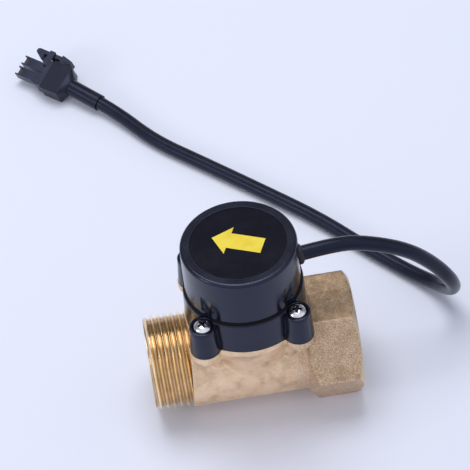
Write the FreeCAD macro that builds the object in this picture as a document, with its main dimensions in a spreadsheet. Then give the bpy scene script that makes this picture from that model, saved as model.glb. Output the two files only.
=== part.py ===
import FreeCAD, Part
import math
import os
import re
import Sketcher
from FreeCAD import Placement, Rotation, Vector

# Water flow switch: a cast brass body with a male outlet and a hexagonal female inlet,
# a round plastic switch housing on four screws, a hinged flap that carries a magnet,
# the reed switch and its circuit, and a short lead that ends in a two-way connector.
# Millimetres. +X is the inlet end of the pipe axis, +Z is up, and the origin lies on the
# standing surface, right under the middle of the housing.

SIZES = {
    # brass body
    "body_length": 72.0,
    "outlet_reach": 35.5,
    "hex_flats": 38.8,
    "hex_length": 18.9,
    "hex_face_inset": 0.4,
    "hex_chamfer_slope": 0.577,
    "hex_shoulder_run": 3.4,
    "thread_radius": 16.62,
    "thread_length": 15.5,
    "thread_lead_in": 1.2,
    "shank_radius": 17.0,
    "bore_radius": 12.5,
    "socket_radius": 15.15,
    "socket_depth": 16.0,
    "chamber_radius": 14.0,
    "parting_rise": 21.55,
    "pad_margin": 0.2,
    "pad_thickness": 2.7,
    "neck_inset": 0.6,
    "neck_foot_radius": 15.8,
    "neck_foot_rise": 4.0,
    "pad_lobe_radius": 5.4,
    "boss_top_radius": 4.0,
    "boss_lean": 3.0,
    "boss_foot_radius": 3.2,
    "boss_foot_rise": 5.0,
    # switch housing, lower half
    "base_lip": 0.8,
    "base_draft": 0.3,
    "base_height": 12.75,
    "base_edge_round": 1.0,
    "base_floor": 2.2,
    "lobe_foot_radius": 5.15,
    "lobe_top_radius": 4.5,
    "lobe_height": 10.15,
    "lobe_edge_round": 0.8,
    "spigot_radius": 13.9,
    "spigot_depth": 3.4,
    "diaphragm_thickness": 1.9,
    "well_radius": 10.8,
    "ring_groove_depth": 1.45,
    "ring_groove_width": 1.9,
    "ring_wire_radius": 0.75,
    "screw_hole_radius": 2.2,
    "driver_room_radius": 3.75,
    "post_spread": 9.6,
    "post_radius": 1.6,
    "post_height": 3.0,
    # switch housing, upper half
    "cap_radius": 19.7,
    "cap_height": 18.8,
    "cap_shoulder": 1.9,
    "cap_roof": 2.0,
    "cap_edge_round": 1.1,
    "seam_gap": 0.7,
    "seam_depth": 1.0,
    "skirt_depth": 4.2,
    "skirt_wall": 1.3,
    "skirt_gap": 0.1,
    "flute_height": 9.0,
    "rim_width": 3.5,
    "label_recess": 0.5,
    "label_thickness": 0.3,
    "label_gap": 0.1,
    # screws
    "screw_inset": 3.7,
    "screw_radius": 1.95,
    "screw_length": 16.0,
    "screw_point": 0.5,
    "head_radius": 3.5,
    "head_height": 2.5,
    "head_crown": 0.9,
    "recess_width": 0.95,
    "recess_length": 4.0,
    "recess_depth": 1.3,
    "tap_gap": 0.05,
    "tap_spare": 0.6,
    # flap, its pin and its spring
    "pin_drop": 6.7,
    "pin_radius": 1.0,
    "pin_length": 24.4,
    "pin_play": 0.06,
    "lug_inner": 9.0,
    "lug_thickness": 2.6,
    "lug_radius": 2.6,
    "knuckle_radius": 2.1,
    "knuckle_play": 0.4,
    "knuckle_gap": 6.4,
    "flap_reach": 26.0,
    "flap_half_width": 8.4,
    "flap_thickness": 1.6,
    "heel_reach": 2.9,
    "stop_play": 0.05,
    "stop_drop": 1.0,
    "stop_thickness": 1.8,
    "magnet_drop": 10.6,
    "magnet_radius": 3.2,
    "magnet_thickness": 3.0,
    "magnet_play": 0.05,
    "magnet_cup_wall": 1.0,
    "spring_radius": 1.3,
    "spring_wire": 0.2,
    "spring_turns": 4.0,
    "spring_pitch": 0.9,
    # circuit
    "board_gap": 1.9,
    "board_thickness": 1.6,
    "reed_radius": 1.1,
    "reed_length": 13.0,
    "reed_wire": 0.3,
    "reed_span": 19.0,
    "triac_width": 10.0,
    "triac_depth": 4.4,
    "triac_height": 9.0,
    "triac_tab_height": 6.2,
    "triac_tab_thickness": 1.3,
    "triac_leg": 3.0,
    "triac_leg_width": 0.8,
    "triac_leg_thickness": 0.5,
    "triac_pitch": 2.54,
    "triac_hole_radius": 1.8,
    "triac_setback": 6.0,
    "capacitor_length": 12.5,
    "capacitor_depth": 5.0,
    "capacitor_height": 10.0,
    "capacitor_edge": 0.6,
    "resistor_length": 6.4,
    "resistor_radius": 1.2,
    "resistor_waist": 1.0,
    "resistor_wire": 0.3,
    "resistor_span": 10.0,
    # cord and its way out of the cap
    "cord_diameter": 5.2,
    "exit_bearing": 10.0,
    "exit_rise": 4.9,
    "grommet_collar_radius": 3.7,
    "grommet_collar_length": 1.7,
    "grommet_chamfer": 0.6,
    "grommet_neck_radius": 3.1,
    "grommet_inner_length": 1.5,
    "lead_wire_radius": 0.75,
    "lead_wire_spacing": 2.2,
    "lead_wire_bend": 3.0,
    # connector on the cord's end
    "silo_pitch": 4.8,
    "silo_side": 3.7,
    "silo_wall": 0.5,
    "silo_length": 10.8,
    "silo_window": 2.2,
    "flange_length": 2.6,
    "flange_half_up": 5.7,
    "flange_half_down": 5.4,
    "flange_half_thick": 3.0,
    "brace_run": 3.3,
    "boot_length": 8.0,
    "boot_taper": 2.6,
    "boot_swell": 0.6,
    "sleeve_radius": 3.15,
    "sleeve_length": 14.6,
    "sleeve_entry": 1.0,
    "contact_side": 2.5,
    "contact_wall": 0.3,
    "contact_inset": 0.7,
    "latch_offset": 8.5,
    "latch_thickness": 1.5,
    "latch_width": 4.0,
    "latch_front": 3.1,
    "latch_rear": 19.2,
    "latch_pivot": 10.2,
    "latch_pin_radius": 0.6,
    "latch_play": 0.05,
    "latch_side_play": 0.2,
    "latch_eye_radius": 1.35,
    "hook_drop": 2.3,
    "hook_length": 3.6,
    "hook_tip_run": 0.5,
    "hook_tip_rise": 2.0,
    "nose_run": 0.9,
    "nose_drop": 0.5,
    "tail_rise": 0.7,
    "tail_length": 4.8,
    "tail_sag": 0.2,
    "tail_edge_drop": 0.4,
    "post_reach": 1.2,
    "post_thickness": 0.8,
    "post_rim": 0.5,
    "post_root_height": 0.9,
    "joint_overlap": 0.5,
}

doc = FreeCAD.newDocument("flow_switch")
sheet = doc.addObject("Spreadsheet::Sheet", "Sizes")
for row, (alias, number) in enumerate(SIZES.items(), start=1):
    sheet.set(f"A{row}", str(number))
    sheet.setAlias(f"A{row}", alias)
doc.recompute()

# Levels above the standing surface, as formulas of the sizes.
AXIS = "(hex_flats / 2)"
PARTING = f"({AXIS} + parting_rise)"
RING = f"({PARTING} + base_height)"
LOBE = f"({PARTING} + lobe_height)"
ROOF = f"({RING} + cap_height)"
SPIGOT = f"({PARTING} - spigot_depth)"
FLOOR = f"({PARTING} + base_floor)"
WELL = f"({SPIGOT} + diaphragm_thickness)"
PIN = f"({PARTING} - pin_drop)"
BOARD = f"({FLOOR} + post_height)"
BOARD_TOP = f"({BOARD} + board_thickness)"
EXIT = f"({RING} + exit_rise)"
INLET = "(body_length - outlet_reach)"
HEX_START = f"({INLET} - hex_length)"

# Radii and places that follow the cap.
BASE_RING = "(cap_radius + base_lip)"
BASE_FOOT = f"({BASE_RING} + base_draft)"
PAD = f"({BASE_FOOT} + pad_margin)"
BASE_BORE = "(cap_radius - cap_shoulder)"
SKIRT = f"({BASE_BORE} - skirt_gap)"
CAP_BORE = f"({SKIRT} - skirt_wall)"
LABEL = "(cap_radius - rim_width)"
SPREAD = "(cap_radius - screw_inset)"

# Where the parts of the connector and the flap meet.
FLANGE_END = "(silo_length + flange_length)"
FLANGE_MIDDLE = "((flange_half_up - flange_half_down) / 2)"
KNUCKLE_END = "(lug_inner - knuckle_play)"

CORNERS = [(1, 1), (-1, 1), (-1, -1), (1, -1)]
ALONG_X = Rotation(Vector(0, 1, 0), 90)
ALONG_Y = Rotation(Vector(1, 0, 0), -90)
UPRIGHT = Rotation()


def formula(text):
    """Point every size name in a formula at its cell."""
    return re.sub(r"\b([a-z]+(?:_[a-z]+)+)\b", r"Sizes.\1", str(text))


def size(text):
    """The present value of a formula."""
    return float(sheet.evalExpression(formula(text)))


def place(piece, at, turn=UPRIGHT):
    piece.Placement = Placement(Vector(), turn)
    for letter, text in zip("xyz", at):
        piece.setExpression(f"Placement.Base.{letter}", formula(text))
    return piece


def solid(kind, name, at, turn=UPRIGHT, **sizes):
    """A Part primitive with every size bound to the sheet."""
    piece = doc.addObject(f"Part::{kind}", name)
    for key, text in sizes.items():
        piece.setExpression(key, formula(text))
    return place(piece, at, turn)


def rod(name, at, radius, length, turn=UPRIGHT):
    return solid("Cylinder", name, at, turn, Radius=radius, Height=length)


def taper(name, at, low, high, length, turn=UPRIGHT):
    return solid("Cone", name, at, turn, Radius1=low, Radius2=high, Height=length)


def block(name, at, length, width, height):
    """A box that is centred on at in X and Y, and stands on it in Z."""
    corner = (f"{at[0]} - ({length}) / 2", f"{at[1]} - ({width}) / 2", at[2])
    return solid("Box", name, corner, Length=length, Width=width, Height=height)


def fuse(name, *pieces, refine=True):
    joined = doc.addObject("Part::MultiFuse", name)
    joined.Shapes = list(pieces)
    joined.Refine = refine
    return joined


def cut(name, base, *tools, refine=True):
    result = doc.addObject("Part::Cut", name)
    result.Base = base
    result.Tool = tools[0] if len(tools) == 1 else fuse(name + "_tools", *tools)
    result.Refine = refine
    return result


def origin_plane(body, role):
    return next(item for item in body.Origin.OriginFeatures if item.Role == role)


def outline(body, name, role, corners):
    """A closed sketch whose corners are held at formulas of the sizes."""
    sketch = body.newObject("Sketcher::SketchObject", name)
    sketch.AttachmentSupport = [(origin_plane(body, role), "")]
    sketch.MapMode = "FlatFace"
    count = len(corners)
    spots = [Vector(size(across), size(up), 0) for across, up in corners]
    for index in range(count):
        sketch.addGeometry(Part.LineSegment(spots[index], spots[(index + 1) % count]))
    for index in range(count):
        sketch.addConstraint(Sketcher.Constraint("Coincident", index, 2, (index + 1) % count, 1))
    for index, corner in enumerate(corners):
        spot = (spots[index].x, spots[index].y)
        for kind, text, value in zip(("DistanceX", "DistanceY"), corner, spot):
            held = sketch.addConstraint(Sketcher.Constraint(kind, -1, 1, index, 1, value))
            sketch.setExpression(f"Constraints[{held}]", formula(text))
    return sketch


def turned(name, corners, about="V_Axis", at=("0", "0", "0"), turn=UPRIGHT):
    """A body turned from its half outline, given as (radius, height) or (length, radius)."""
    body = doc.addObject("PartDesign::Body", name)
    sketch = outline(body, name + "_profile", "XZ_Plane", corners)
    lathe = body.newObject("PartDesign::Revolution", name + "_turning")
    lathe.Profile = sketch
    lathe.ReferenceAxis = (sketch, [about])
    lathe.Angle = 360
    return place(body, at, turn)


def padded(name, role, corners, thickness, at=("0", "0", "0"), turn=UPRIGHT):
    """A body raised from a flat outline, half to each side of its plane."""
    body = doc.addObject("PartDesign::Body", name)
    sketch = outline(body, name + "_profile", role, corners)
    pad = body.newObject("PartDesign::Pad", name + "_pad")
    pad.Profile = sketch
    pad.setExpression("Length", formula(thickness))
    pad.Midplane = True
    return place(body, at, turn)


def edges_where(shape, test):
    return [f"Edge{index}" for index, edge in enumerate(shape.Edges, start=1) if test(edge)]


def is_ring(edge, radius, height):
    curve = edge.Curve
    if not isinstance(curve, Part.Circle):
        return False
    return abs(curve.Radius - radius) < 0.01 and abs(curve.Center.z - height) < 0.01


def rounded(name, base, test, radius):
    """Round the edges of a finished feature that pass the test."""
    doc.recompute()
    picked = [int(edge[4:]) for edge in edges_where(base.Shape, test)]
    feature = doc.addObject("Part::Fillet", name)
    feature.Base = base
    value = size(radius)
    feature.Edges = [(index, value, value) for index in picked]
    return feature


def name_piece(piece, label):
    piece.Label = label
    PIECES[label] = piece
    return piece


PIECES = {}


def make_brass_body():
    shank_start = "(thread_length - outlet_reach)"
    barrel = turned(
        "barrel",
        [
            ("-outlet_reach", "0"),
            ("-outlet_reach", "thread_radius - thread_lead_in"),
            ("thread_lead_in - outlet_reach", "thread_radius"),
            (shank_start, "thread_radius"),
            (shank_start, "shank_radius"),
            (f"{HEX_START} + hex_length / 2", "shank_radius"),
            (f"{HEX_START} + hex_length / 2", "0"),
        ],
        about="H_Axis",
        at=("0", "0", AXIS),
    )
    # The hexagon stands on a flat, with corners to the front and back. Both its ends are
    # turned: a chamfer at the mouth and a sloping shoulder that rises from the shank.
    flats_turn = ALONG_X * Rotation(Vector(0, 0, 1), 30)
    prism = solid(
        "Prism", "hex_prism", (HEX_START, "0", AXIS), flats_turn,
        Circumradius="hex_flats / sqrt(3)", Height="hex_length",
    )
    corner = "hex_flats / sqrt(3)"
    face = "(hex_flats / 2 - hex_face_inset)"
    outside = f"({corner} + hex_face_inset)"
    turning = turned(
        "hex_turning",
        [
            (HEX_START, "0"),
            (HEX_START, "shank_radius"),
            (f"{HEX_START} + hex_shoulder_run", outside),
            (f"{INLET} - ({outside} - {face}) * hex_chamfer_slope", outside),
            (INLET, face),
            (INLET, "0"),
        ],
        about="H_Axis",
        at=("0", "0", AXIS),
    )
    hexagon = doc.addObject("Part::MultiCommon", "hexagon")
    hexagon.Shapes = [prism, turning]

    neck_foot = f"({AXIS} + neck_foot_rise)"
    pad_foot = f"({PARTING} - pad_thickness)"
    neck_height = f"{pad_foot} - {neck_foot}"
    neck = taper("neck", ("0", "0", neck_foot), "neck_foot_radius", f"{PAD} - neck_inset", neck_height)
    pad = rod("pad", ("0", "0", pad_foot), PAD, "pad_thickness")
    pieces = [barrel, hexagon, neck, pad]
    tools = []
    for number, (side, front) in enumerate(CORNERS, start=1):
        spot = (f"{side} * {SPREAD}", f"{front} * {SPREAD}")
        pieces.append(rod(f"pad_lobe_{number}", (*spot, pad_foot), "pad_lobe_radius", "pad_thickness"))
        pieces.append(make_boss(number, side, front, pad_foot))
        depth = "(screw_length - lobe_height + tap_spare)"
        hole = (*spot, f"{PARTING} - {depth}")
        tools.append(rod(f"tapped_hole_{number}", hole, "screw_radius + tap_gap", f"{depth} + 1"))
    casting = fuse("casting", *pieces, refine=False)

    passage = turned(
        "passage",
        [
            ("-outlet_reach - 1", "0"),
            ("-outlet_reach - 1", "bore_radius"),
            (f"{INLET} - socket_depth - (socket_radius - bore_radius)", "bore_radius"),
            (f"{INLET} - socket_depth", "socket_radius"),
            (f"{INLET} + 1", "socket_radius"),
            (f"{INLET} + 1", "0"),
        ],
        about="H_Axis",
        at=("0", "0", AXIS),
    )
    chamber = rod("chamber", ("0", "0", AXIS), "chamber_radius", "parting_rise + 1")
    name_piece(cut("brass_body", casting, passage, chamber, *tools, refine=False), "brass_body")


def make_boss(number, side, front, pad_foot):
    """The leaning boss under one screw, which runs from the pad's lobe into the pipe."""
    top = doc.addObject("Part::Circle", f"boss_top_{number}")
    top.setExpression("Radius", formula("boss_top_radius"))
    place(top, (f"{side} * {SPREAD}", f"{front} * {SPREAD}", pad_foot))
    foot = doc.addObject("Part::Circle", f"boss_foot_{number}")
    foot.setExpression("Radius", formula("boss_foot_radius"))
    reach = f"({SPREAD} - boss_lean)"
    place(foot, (f"{side} * {reach}", f"{front} * {reach}", f"{AXIS} + boss_foot_rise"))
    boss = doc.addObject("Part::Loft", f"boss_{number}")
    boss.Sections = [foot, top]
    boss.Solid = True
    boss.Ruled = True
    return boss


def make_base_housing():
    groove_top = f"({PARTING} - (spigot_depth - ring_groove_width) / 2)"
    groove_foot = f"({groove_top} - ring_groove_width)"
    cup = turned(
        "base_cup",
        [
            ("0", SPIGOT),
            ("spigot_radius", SPIGOT),
            ("spigot_radius", groove_foot),
            ("spigot_radius - ring_groove_depth", groove_foot),
            ("spigot_radius - ring_groove_depth", groove_top),
            ("spigot_radius", groove_top),
            ("spigot_radius", PARTING),
            (BASE_FOOT, PARTING),
            (BASE_RING, RING),
            ("0", RING),
        ],
    )
    round_edge(cup, "base_edge", BASE_RING, RING, "base_edge_round")
    pieces = [cup]
    tools = [
        rod("base_bore", ("0", "0", FLOOR), BASE_BORE, f"{RING} - {FLOOR} + 1"),
        rod("reed_well", ("0", "0", WELL), "well_radius", f"{RING} - {WELL}"),
    ]
    for number, (side, front) in enumerate(CORNERS, start=1):
        spot = (f"{side} * {SPREAD}", f"{front} * {SPREAD}")
        lobe = turned(
            f"lobe_{number}",
            [
                ("0", "0"),
                ("lobe_foot_radius", "0"),
                ("lobe_top_radius", "lobe_height"),
                ("0", "lobe_height"),
            ],
            at=(*spot, PARTING),
        )
        round_edge(lobe, f"lobe_edge_{number}", "lobe_top_radius", "lobe_height", "lobe_edge_round")
        pieces.append(lobe)
        hole = (*spot, f"{PARTING} - 1")
        tools.append(rod(f"screw_hole_{number}", hole, "screw_hole_radius", "lobe_height + 2"))
        room_height = f"{RING} - {LOBE} + 1"
        tools.append(rod(f"driver_room_{number}", (*spot, LOBE), "driver_room_radius", room_height))
    shell = cut("base_shell", fuse("base_outside", *pieces), *tools)

    inside = [shell]
    for number, (side, front) in enumerate(CORNERS, start=1):
        spot = (f"{side} * post_spread", f"{front} * post_spread", f"{FLOOR} - base_floor / 2")
        inside.append(rod(f"board_post_{number}", spot, "post_radius", "post_height + base_floor / 2"))
    for number, front in enumerate((1, -1), start=1):
        inside += make_hinge_lug(number, front)
    housing = fuse("base_with_lugs", *inside)
    outside = "(lug_inner + lug_thickness + 1)"
    eye = rod("pin_eye", ("0", f"-{outside}", PIN), "pin_radius", f"2 * {outside}", ALONG_Y)
    name_piece(cut("base_housing", housing, eye), "base_housing")


def make_hinge_lug(number, front):
    """A rounded ear under the housing's floor, and the rib that the flap's heel rests on."""
    low = "lug_inner" if front > 0 else "(-lug_inner - lug_thickness)"
    ear = rod(f"lug_eye_{number}", ("0", low, PIN), "lug_radius", "lug_thickness", ALONG_Y)
    centre = f"{front} * (lug_inner + lug_thickness / 2)"
    web_height = "pin_drop - spigot_depth / 2"
    web = block(f"lug_web_{number}", ("0", centre, PIN), "2 * lug_radius", "lug_thickness", web_height)
    heel_middle = f"{front} * ({KNUCKLE_END} + knuckle_gap / 2) / 2"
    stop_back = "-flap_thickness / 2 - stop_play - stop_thickness / 2"
    stop_height = "stop_drop + base_floor / 2"
    stop_spot = (stop_back, heel_middle, f"{SPIGOT} - stop_drop")
    stop = block(f"stop_rib_{number}", stop_spot, "stop_thickness", "heel_reach", stop_height)
    return [ear, web, stop]


def make_cap_housing():
    # A shadow groove runs round the foot of the wall, where the cap meets the base.
    shell = turned(
        "cap_shell",
        [
            (CAP_BORE, f"{RING} - skirt_depth"),
            (SKIRT, f"{RING} - skirt_depth"),
            (SKIRT, RING),
            ("cap_radius - seam_depth", RING),
            ("cap_radius - seam_depth", f"{RING} + seam_gap"),
            ("cap_radius", f"{RING} + seam_gap"),
            ("cap_radius", ROOF),
            (f"{LABEL} + label_gap", ROOF),
            (f"{LABEL} + label_gap", f"{ROOF} - label_recess"),
            ("0", f"{ROOF} - label_recess"),
            ("0", f"{ROOF} - label_recess - cap_roof"),
            (CAP_BORE, f"{ROOF} - label_recess - cap_roof"),
        ],
    )
    round_edge(shell, "cap_edge", "cap_radius", ROOF, "cap_edge_round")
    tools = []
    for number, (side, front) in enumerate(CORNERS, start=1):
        spot = (f"{side} * {SPREAD}", f"{front} * {SPREAD}", RING)
        tools.append(rod(f"flute_{number}", spot, "driver_room_radius", "flute_height"))
    out = Rotation(Vector(0, 0, 1), size("exit_bearing")) * ALONG_X
    tools.append(rod("cord_hole", ("0", "0", EXIT), "grommet_neck_radius", "cap_radius + 1", out))
    name_piece(cut("cap_housing", shell, *tools), "cap_housing")


def round_edge(body, name, ring_radius, ring_height, radius):
    """Round one turned edge of a body, found by its radius and height."""
    doc.recompute()
    around, level = size(ring_radius), size(ring_height)
    base = body.Tip
    picked = edges_where(base.Shape, lambda edge: is_ring(edge, around, level))
    feature = body.newObject("PartDesign::Fillet", name)
    feature.Base = (base, picked)
    feature.setExpression("Radius", formula(radius))
    return feature


def make_label_disc():
    disc = rod("label_blank", ("0", "0", f"{ROOF} - label_recess"), LABEL, "label_thickness")
    name_piece(disc, "label_disc")


def make_base_o_ring():
    middle = f"({PARTING} - spigot_depth / 2)"
    ring = solid(
        "Torus", "o_ring", ("0", "0", middle),
        Radius1="(spigot_radius - ring_groove_depth + chamber_radius) / 2", Radius2="ring_wire_radius",
    )
    name_piece(ring, "base_o_ring")


def make_base_screws():
    screws = []
    for number, (side, front) in enumerate(CORNERS, start=1):
        spot = (f"{side} * {SPREAD}", f"{front} * {SPREAD}", LOBE)
        shape = turned(
            f"screw_blank_{number}",
            [
                ("0", "-screw_length"),
                ("screw_radius - screw_point", "-screw_length"),
                ("screw_radius", "screw_point - screw_length"),
                ("screw_radius", "0"),
                ("head_radius", "0"),
                ("head_radius", "head_height - head_crown"),
                ("head_radius * 0.8", "head_height - head_crown / 3"),
                ("head_radius * 0.4", "head_height"),
                ("0", "head_height"),
            ],
            at=spot,
        )
        floor = f"{LOBE} + head_height - recess_depth"
        foot = (*spot[:2], floor)
        slots = [
            block(f"recess_{number}_a", foot, "recess_length", "recess_width", "recess_depth + 1"),
            block(f"recess_{number}_b", foot, "recess_width", "recess_length", "recess_depth + 1"),
        ]
        screws.append(cut(f"screw_{number}", shape, *slots))
    group = doc.addObject("Part::Compound", "screw_set")
    group.Links = screws
    name_piece(group, "base_screws")


def make_flap():
    half = "flap_half_width"
    tip_centre = f"({PIN} - flap_reach + {half})"
    plate_top = f"({PIN} - knuckle_radius / 2)"
    plate_height = f"{plate_top} - {tip_centre}"
    plate = block("flap_plate", ("0", "0", tip_centre), "flap_thickness", f"2 * {half}", plate_height)
    tip = rod("flap_tip", ("-flap_thickness / 2", "0", tip_centre), half, "flap_thickness", ALONG_X)
    pieces = [plate, tip]
    for number, front in enumerate((1, -1), start=1):
        length = f"({KNUCKLE_END} - knuckle_gap / 2)"
        low = "knuckle_gap / 2" if front > 0 else f"-{KNUCKLE_END}"
        pieces.append(rod(f"knuckle_{number}", ("0", low, PIN), "knuckle_radius", length, ALONG_Y))
        middle = f"{front} * ({KNUCKLE_END} + knuckle_gap / 2) / 2"
        heel = block(f"heel_{number}", ("0", middle, PIN), "flap_thickness", "heel_reach", "heel_reach")
        pieces.append(heel)
    eye_start = ("0", f"-{KNUCKLE_END} - 1", PIN)
    eye = rod("flap_eye", eye_start, "pin_radius + pin_play", f"2 * {KNUCKLE_END} + 2", ALONG_Y)
    room = block(
        "spring_room", ("0", "0", f"{PIN} - knuckle_radius - spring_wire"),
        "2 * knuckle_radius + 1", "knuckle_gap", "2 * knuckle_radius",
    )
    holes = [eye, room]
    cup_length = "(magnet_thickness + magnet_cup_wall / 2)"
    cup_radius = "(magnet_radius + magnet_play + magnet_cup_wall)"
    cup_start = f"-flap_thickness / 2 - {cup_length}"
    cup_spot = (cup_start, "0", f"{PIN} - magnet_drop")
    pocket_spot = (f"{cup_start} - 1", *cup_spot[1:])
    pocket_radius = "magnet_radius + magnet_play"
    pieces.append(rod("magnet_cup", cup_spot, cup_radius, cup_length, ALONG_X))
    holes.append(rod("magnet_pocket", pocket_spot, pocket_radius, "magnet_thickness + 1", ALONG_X))
    name_piece(cut("flap_cut", fuse("flap_blank", *pieces), *holes), "flap")
    magnet = rod("magnet_puck", cup_spot, "magnet_radius", "magnet_thickness", ALONG_X)
    name_piece(magnet, "flap_magnet")


def make_flap_pin():
    half = "pin_length / 2"
    pin = turned(
        "pin_blank",
        [
            (f"-{half}", "0"),
            (f"-{half}", "pin_radius * 0.7"),
            (f"-{half} + pin_radius * 0.3", "pin_radius"),
            (f"{half} - pin_radius * 0.3", "pin_radius"),
            (half, "pin_radius * 0.7"),
            (half, "0"),
        ],
        about="H_Axis",
        at=("0", "0", PIN),
        turn=Rotation(Vector(0, 0, 1), 90),
    )
    name_piece(pin, "flap_pin")


def make_flap_spring():
    """A torsion spring round the pin: one leg under the floor, one on the flap's face."""
    coil, wire = size("spring_radius"), size("spring_wire")
    turns, pitch = size("spring_turns"), size("spring_pitch")
    helix = Part.makeHelix(pitch, pitch * turns, coil)
    helix.translate(Vector(0, 0, -pitch * turns / 2))
    rise = pitch / (2 * math.pi)
    slope = Vector(0, coil, rise).normalize()
    low = Vector(coil, 0, -pitch * turns / 2)
    high = Vector(coil, 0, pitch * turns / 2)
    short_leg = size("pin_drop - spigot_depth") - 2 * wire
    long_leg = size("magnet_drop - magnet_radius - magnet_cup_wall") - 4 * wire
    path = Part.Wire(
        [
            Part.LineSegment(low - slope * short_leg, low).toShape(),
            *helix.Edges,
            Part.LineSegment(high, high + slope * long_leg).toShape(),
        ]
    )
    section = Part.Wire(Part.Circle(low - slope * short_leg, slope, wire).toShape())
    spring = path.makePipeShell([section], True, True)
    piece = doc.addObject("Part::Feature", "spring_wire_form")
    piece.Shape = spring
    turn = Rotation(Vector(-1, 0, 0), Vector(0, 0, -1), Vector(0, -1, 0), "XYZ")
    piece.Placement = Placement(Vector(0, 0, size(PIN)), turn)
    name_piece(piece, "flap_spring")


def make_circuit():
    board = rod("board_blank", ("0", "0", BOARD), f"{BASE_BORE} - board_gap", "board_thickness")
    name_piece(board, "circuit_board")

    level = f"({WELL} + reed_radius)"
    half = "reed_length / 2"
    glass = turned(
        "reed_glass",
        [
            (f"-{half}", "0"),
            (f"-{half}", "reed_radius * 0.4"),
            (f"-{half} + reed_radius", "reed_radius"),
            (f"{half} - reed_radius", "reed_radius"),
            (half, "reed_radius * 0.4"),
            (half, "0"),
        ],
        about="H_Axis",
        at=("0", "0", level),
    )
    lead = rod("reed_lead", ("-reed_span / 2", "0", level), "reed_wire", "reed_span", ALONG_X)
    reed = [glass, lead]
    for number, side in enumerate((1, -1), start=1):
        spot = (f"{side} * (reed_span / 2 - reed_wire)", "0", level)
        reed.append(rod(f"reed_riser_{number}", spot, "reed_wire * 0.8", f"{BOARD} - {level}"))
    name_piece(fuse("reed_form", *reed), "reed_switch")

    body_foot = f"({BOARD_TOP} + triac_leg)"
    setback = "-triac_setback"
    case_spot = ("0", setback, body_foot)
    triac = [block("triac_case", case_spot, "triac_width", "triac_depth", "triac_height")]
    tab_spot = ("0", f"{setback} - triac_depth / 2 + triac_tab_thickness / 2", body_foot)
    tab_height = "triac_height + triac_tab_height"
    triac.append(block("triac_tab", tab_spot, "triac_width", "triac_tab_thickness", tab_height))
    for number in (-1, 0, 1):
        name = f"triac_leg_{number + 2}"
        spot = (f"{number} * triac_pitch", setback, BOARD_TOP)
        triac.append(block(name, spot, "triac_leg_width", "triac_leg_thickness", "triac_leg + 1"))
    hole_level = f"{body_foot} + triac_height + triac_tab_height / 2"
    hole_spot = ("0", f"{setback} - triac_depth / 2 - 1", hole_level)
    hole = rod("triac_hole", hole_spot, "triac_hole_radius", "triac_tab_thickness + 2", ALONG_Y)
    name_piece(cut("triac_form", fuse("triac_blank", *triac), hole), "triac")

    case = block(
        "capacitor_case", ("-triac_setback / 2", "triac_setback", BOARD_TOP),
        "capacitor_length", "capacitor_depth", "capacitor_height",
    )
    low = size(f"{BOARD_TOP} + capacitor_edge")
    soft = rounded("capacitor_form", case, lambda edge: edge.CenterOfMass.z > low, "capacitor_edge")
    name_piece(soft, "snubber_capacitor")

    rest = f"({BOARD_TOP} + resistor_radius)"
    half = "resistor_length / 2"
    spool = turned(
        "resistor_spool",
        [
            (f"-{half}", "0"),
            (f"-{half}", "resistor_radius"),
            ("-resistor_length * 0.3", "resistor_radius"),
            ("-resistor_length * 0.2", "resistor_waist"),
            ("resistor_length * 0.2", "resistor_waist"),
            ("resistor_length * 0.3", "resistor_radius"),
            (half, "resistor_radius"),
            (half, "0"),
        ],
        about="H_Axis",
        at=("0", "0", rest),
    )
    lead_start = ("-resistor_span / 2", "0", rest)
    wires = [spool, rod("resistor_lead", lead_start, "resistor_wire", "resistor_span", ALONG_X)]
    for number, side in enumerate((1, -1), start=1):
        spot = (f"{side} * (resistor_span / 2 - resistor_wire)", "0", BOARD_TOP)
        wires.append(rod(f"resistor_foot_{number}", spot, "resistor_wire * 0.8", "resistor_radius"))
    name_piece(fuse("resistor_form", *wires), "gate_resistor")


def make_grommet():
    out = Rotation(Vector(0, 0, 1), size("exit_bearing"))
    collar_end = "(cap_radius + grommet_collar_length)"
    bush = turned(
        "grommet_blank",
        [
            (f"{CAP_BORE} - grommet_inner_length", "cord_diameter / 2"),
            (f"{CAP_BORE} - grommet_inner_length", "grommet_collar_radius"),
            (CAP_BORE, "grommet_collar_radius"),
            (CAP_BORE, "grommet_neck_radius"),
            ("cap_radius", "grommet_neck_radius"),
            ("cap_radius", "grommet_collar_radius"),
            (f"{collar_end} - grommet_chamfer", "grommet_collar_radius"),
            (collar_end, "grommet_collar_radius - grommet_chamfer"),
            (collar_end, "cord_diameter / 2"),
        ],
        about="H_Axis",
        at=("0", "0", EXIT),
        turn=out,
    )
    # The collar's back is cut to the cap's round wall on both sides.
    wall = cut(
        "grommet_wall",
        rod("grommet_wall_outer", ("0", "0", RING), "cap_radius", "cap_height"),
        rod("grommet_wall_inner", ("0", "0", f"{RING} - 1"), CAP_BORE, "cap_height + 2"),
    )
    hole_turn = out * ALONG_X
    hole = rod("grommet_ring_hole", ("0", "0", EXIT), "grommet_neck_radius", "cap_radius + 1", hole_turn)
    ring = cut("grommet_ring", wall, hole)
    name_piece(cut("grommet_form", bush, ring), "cord_grommet")


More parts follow.
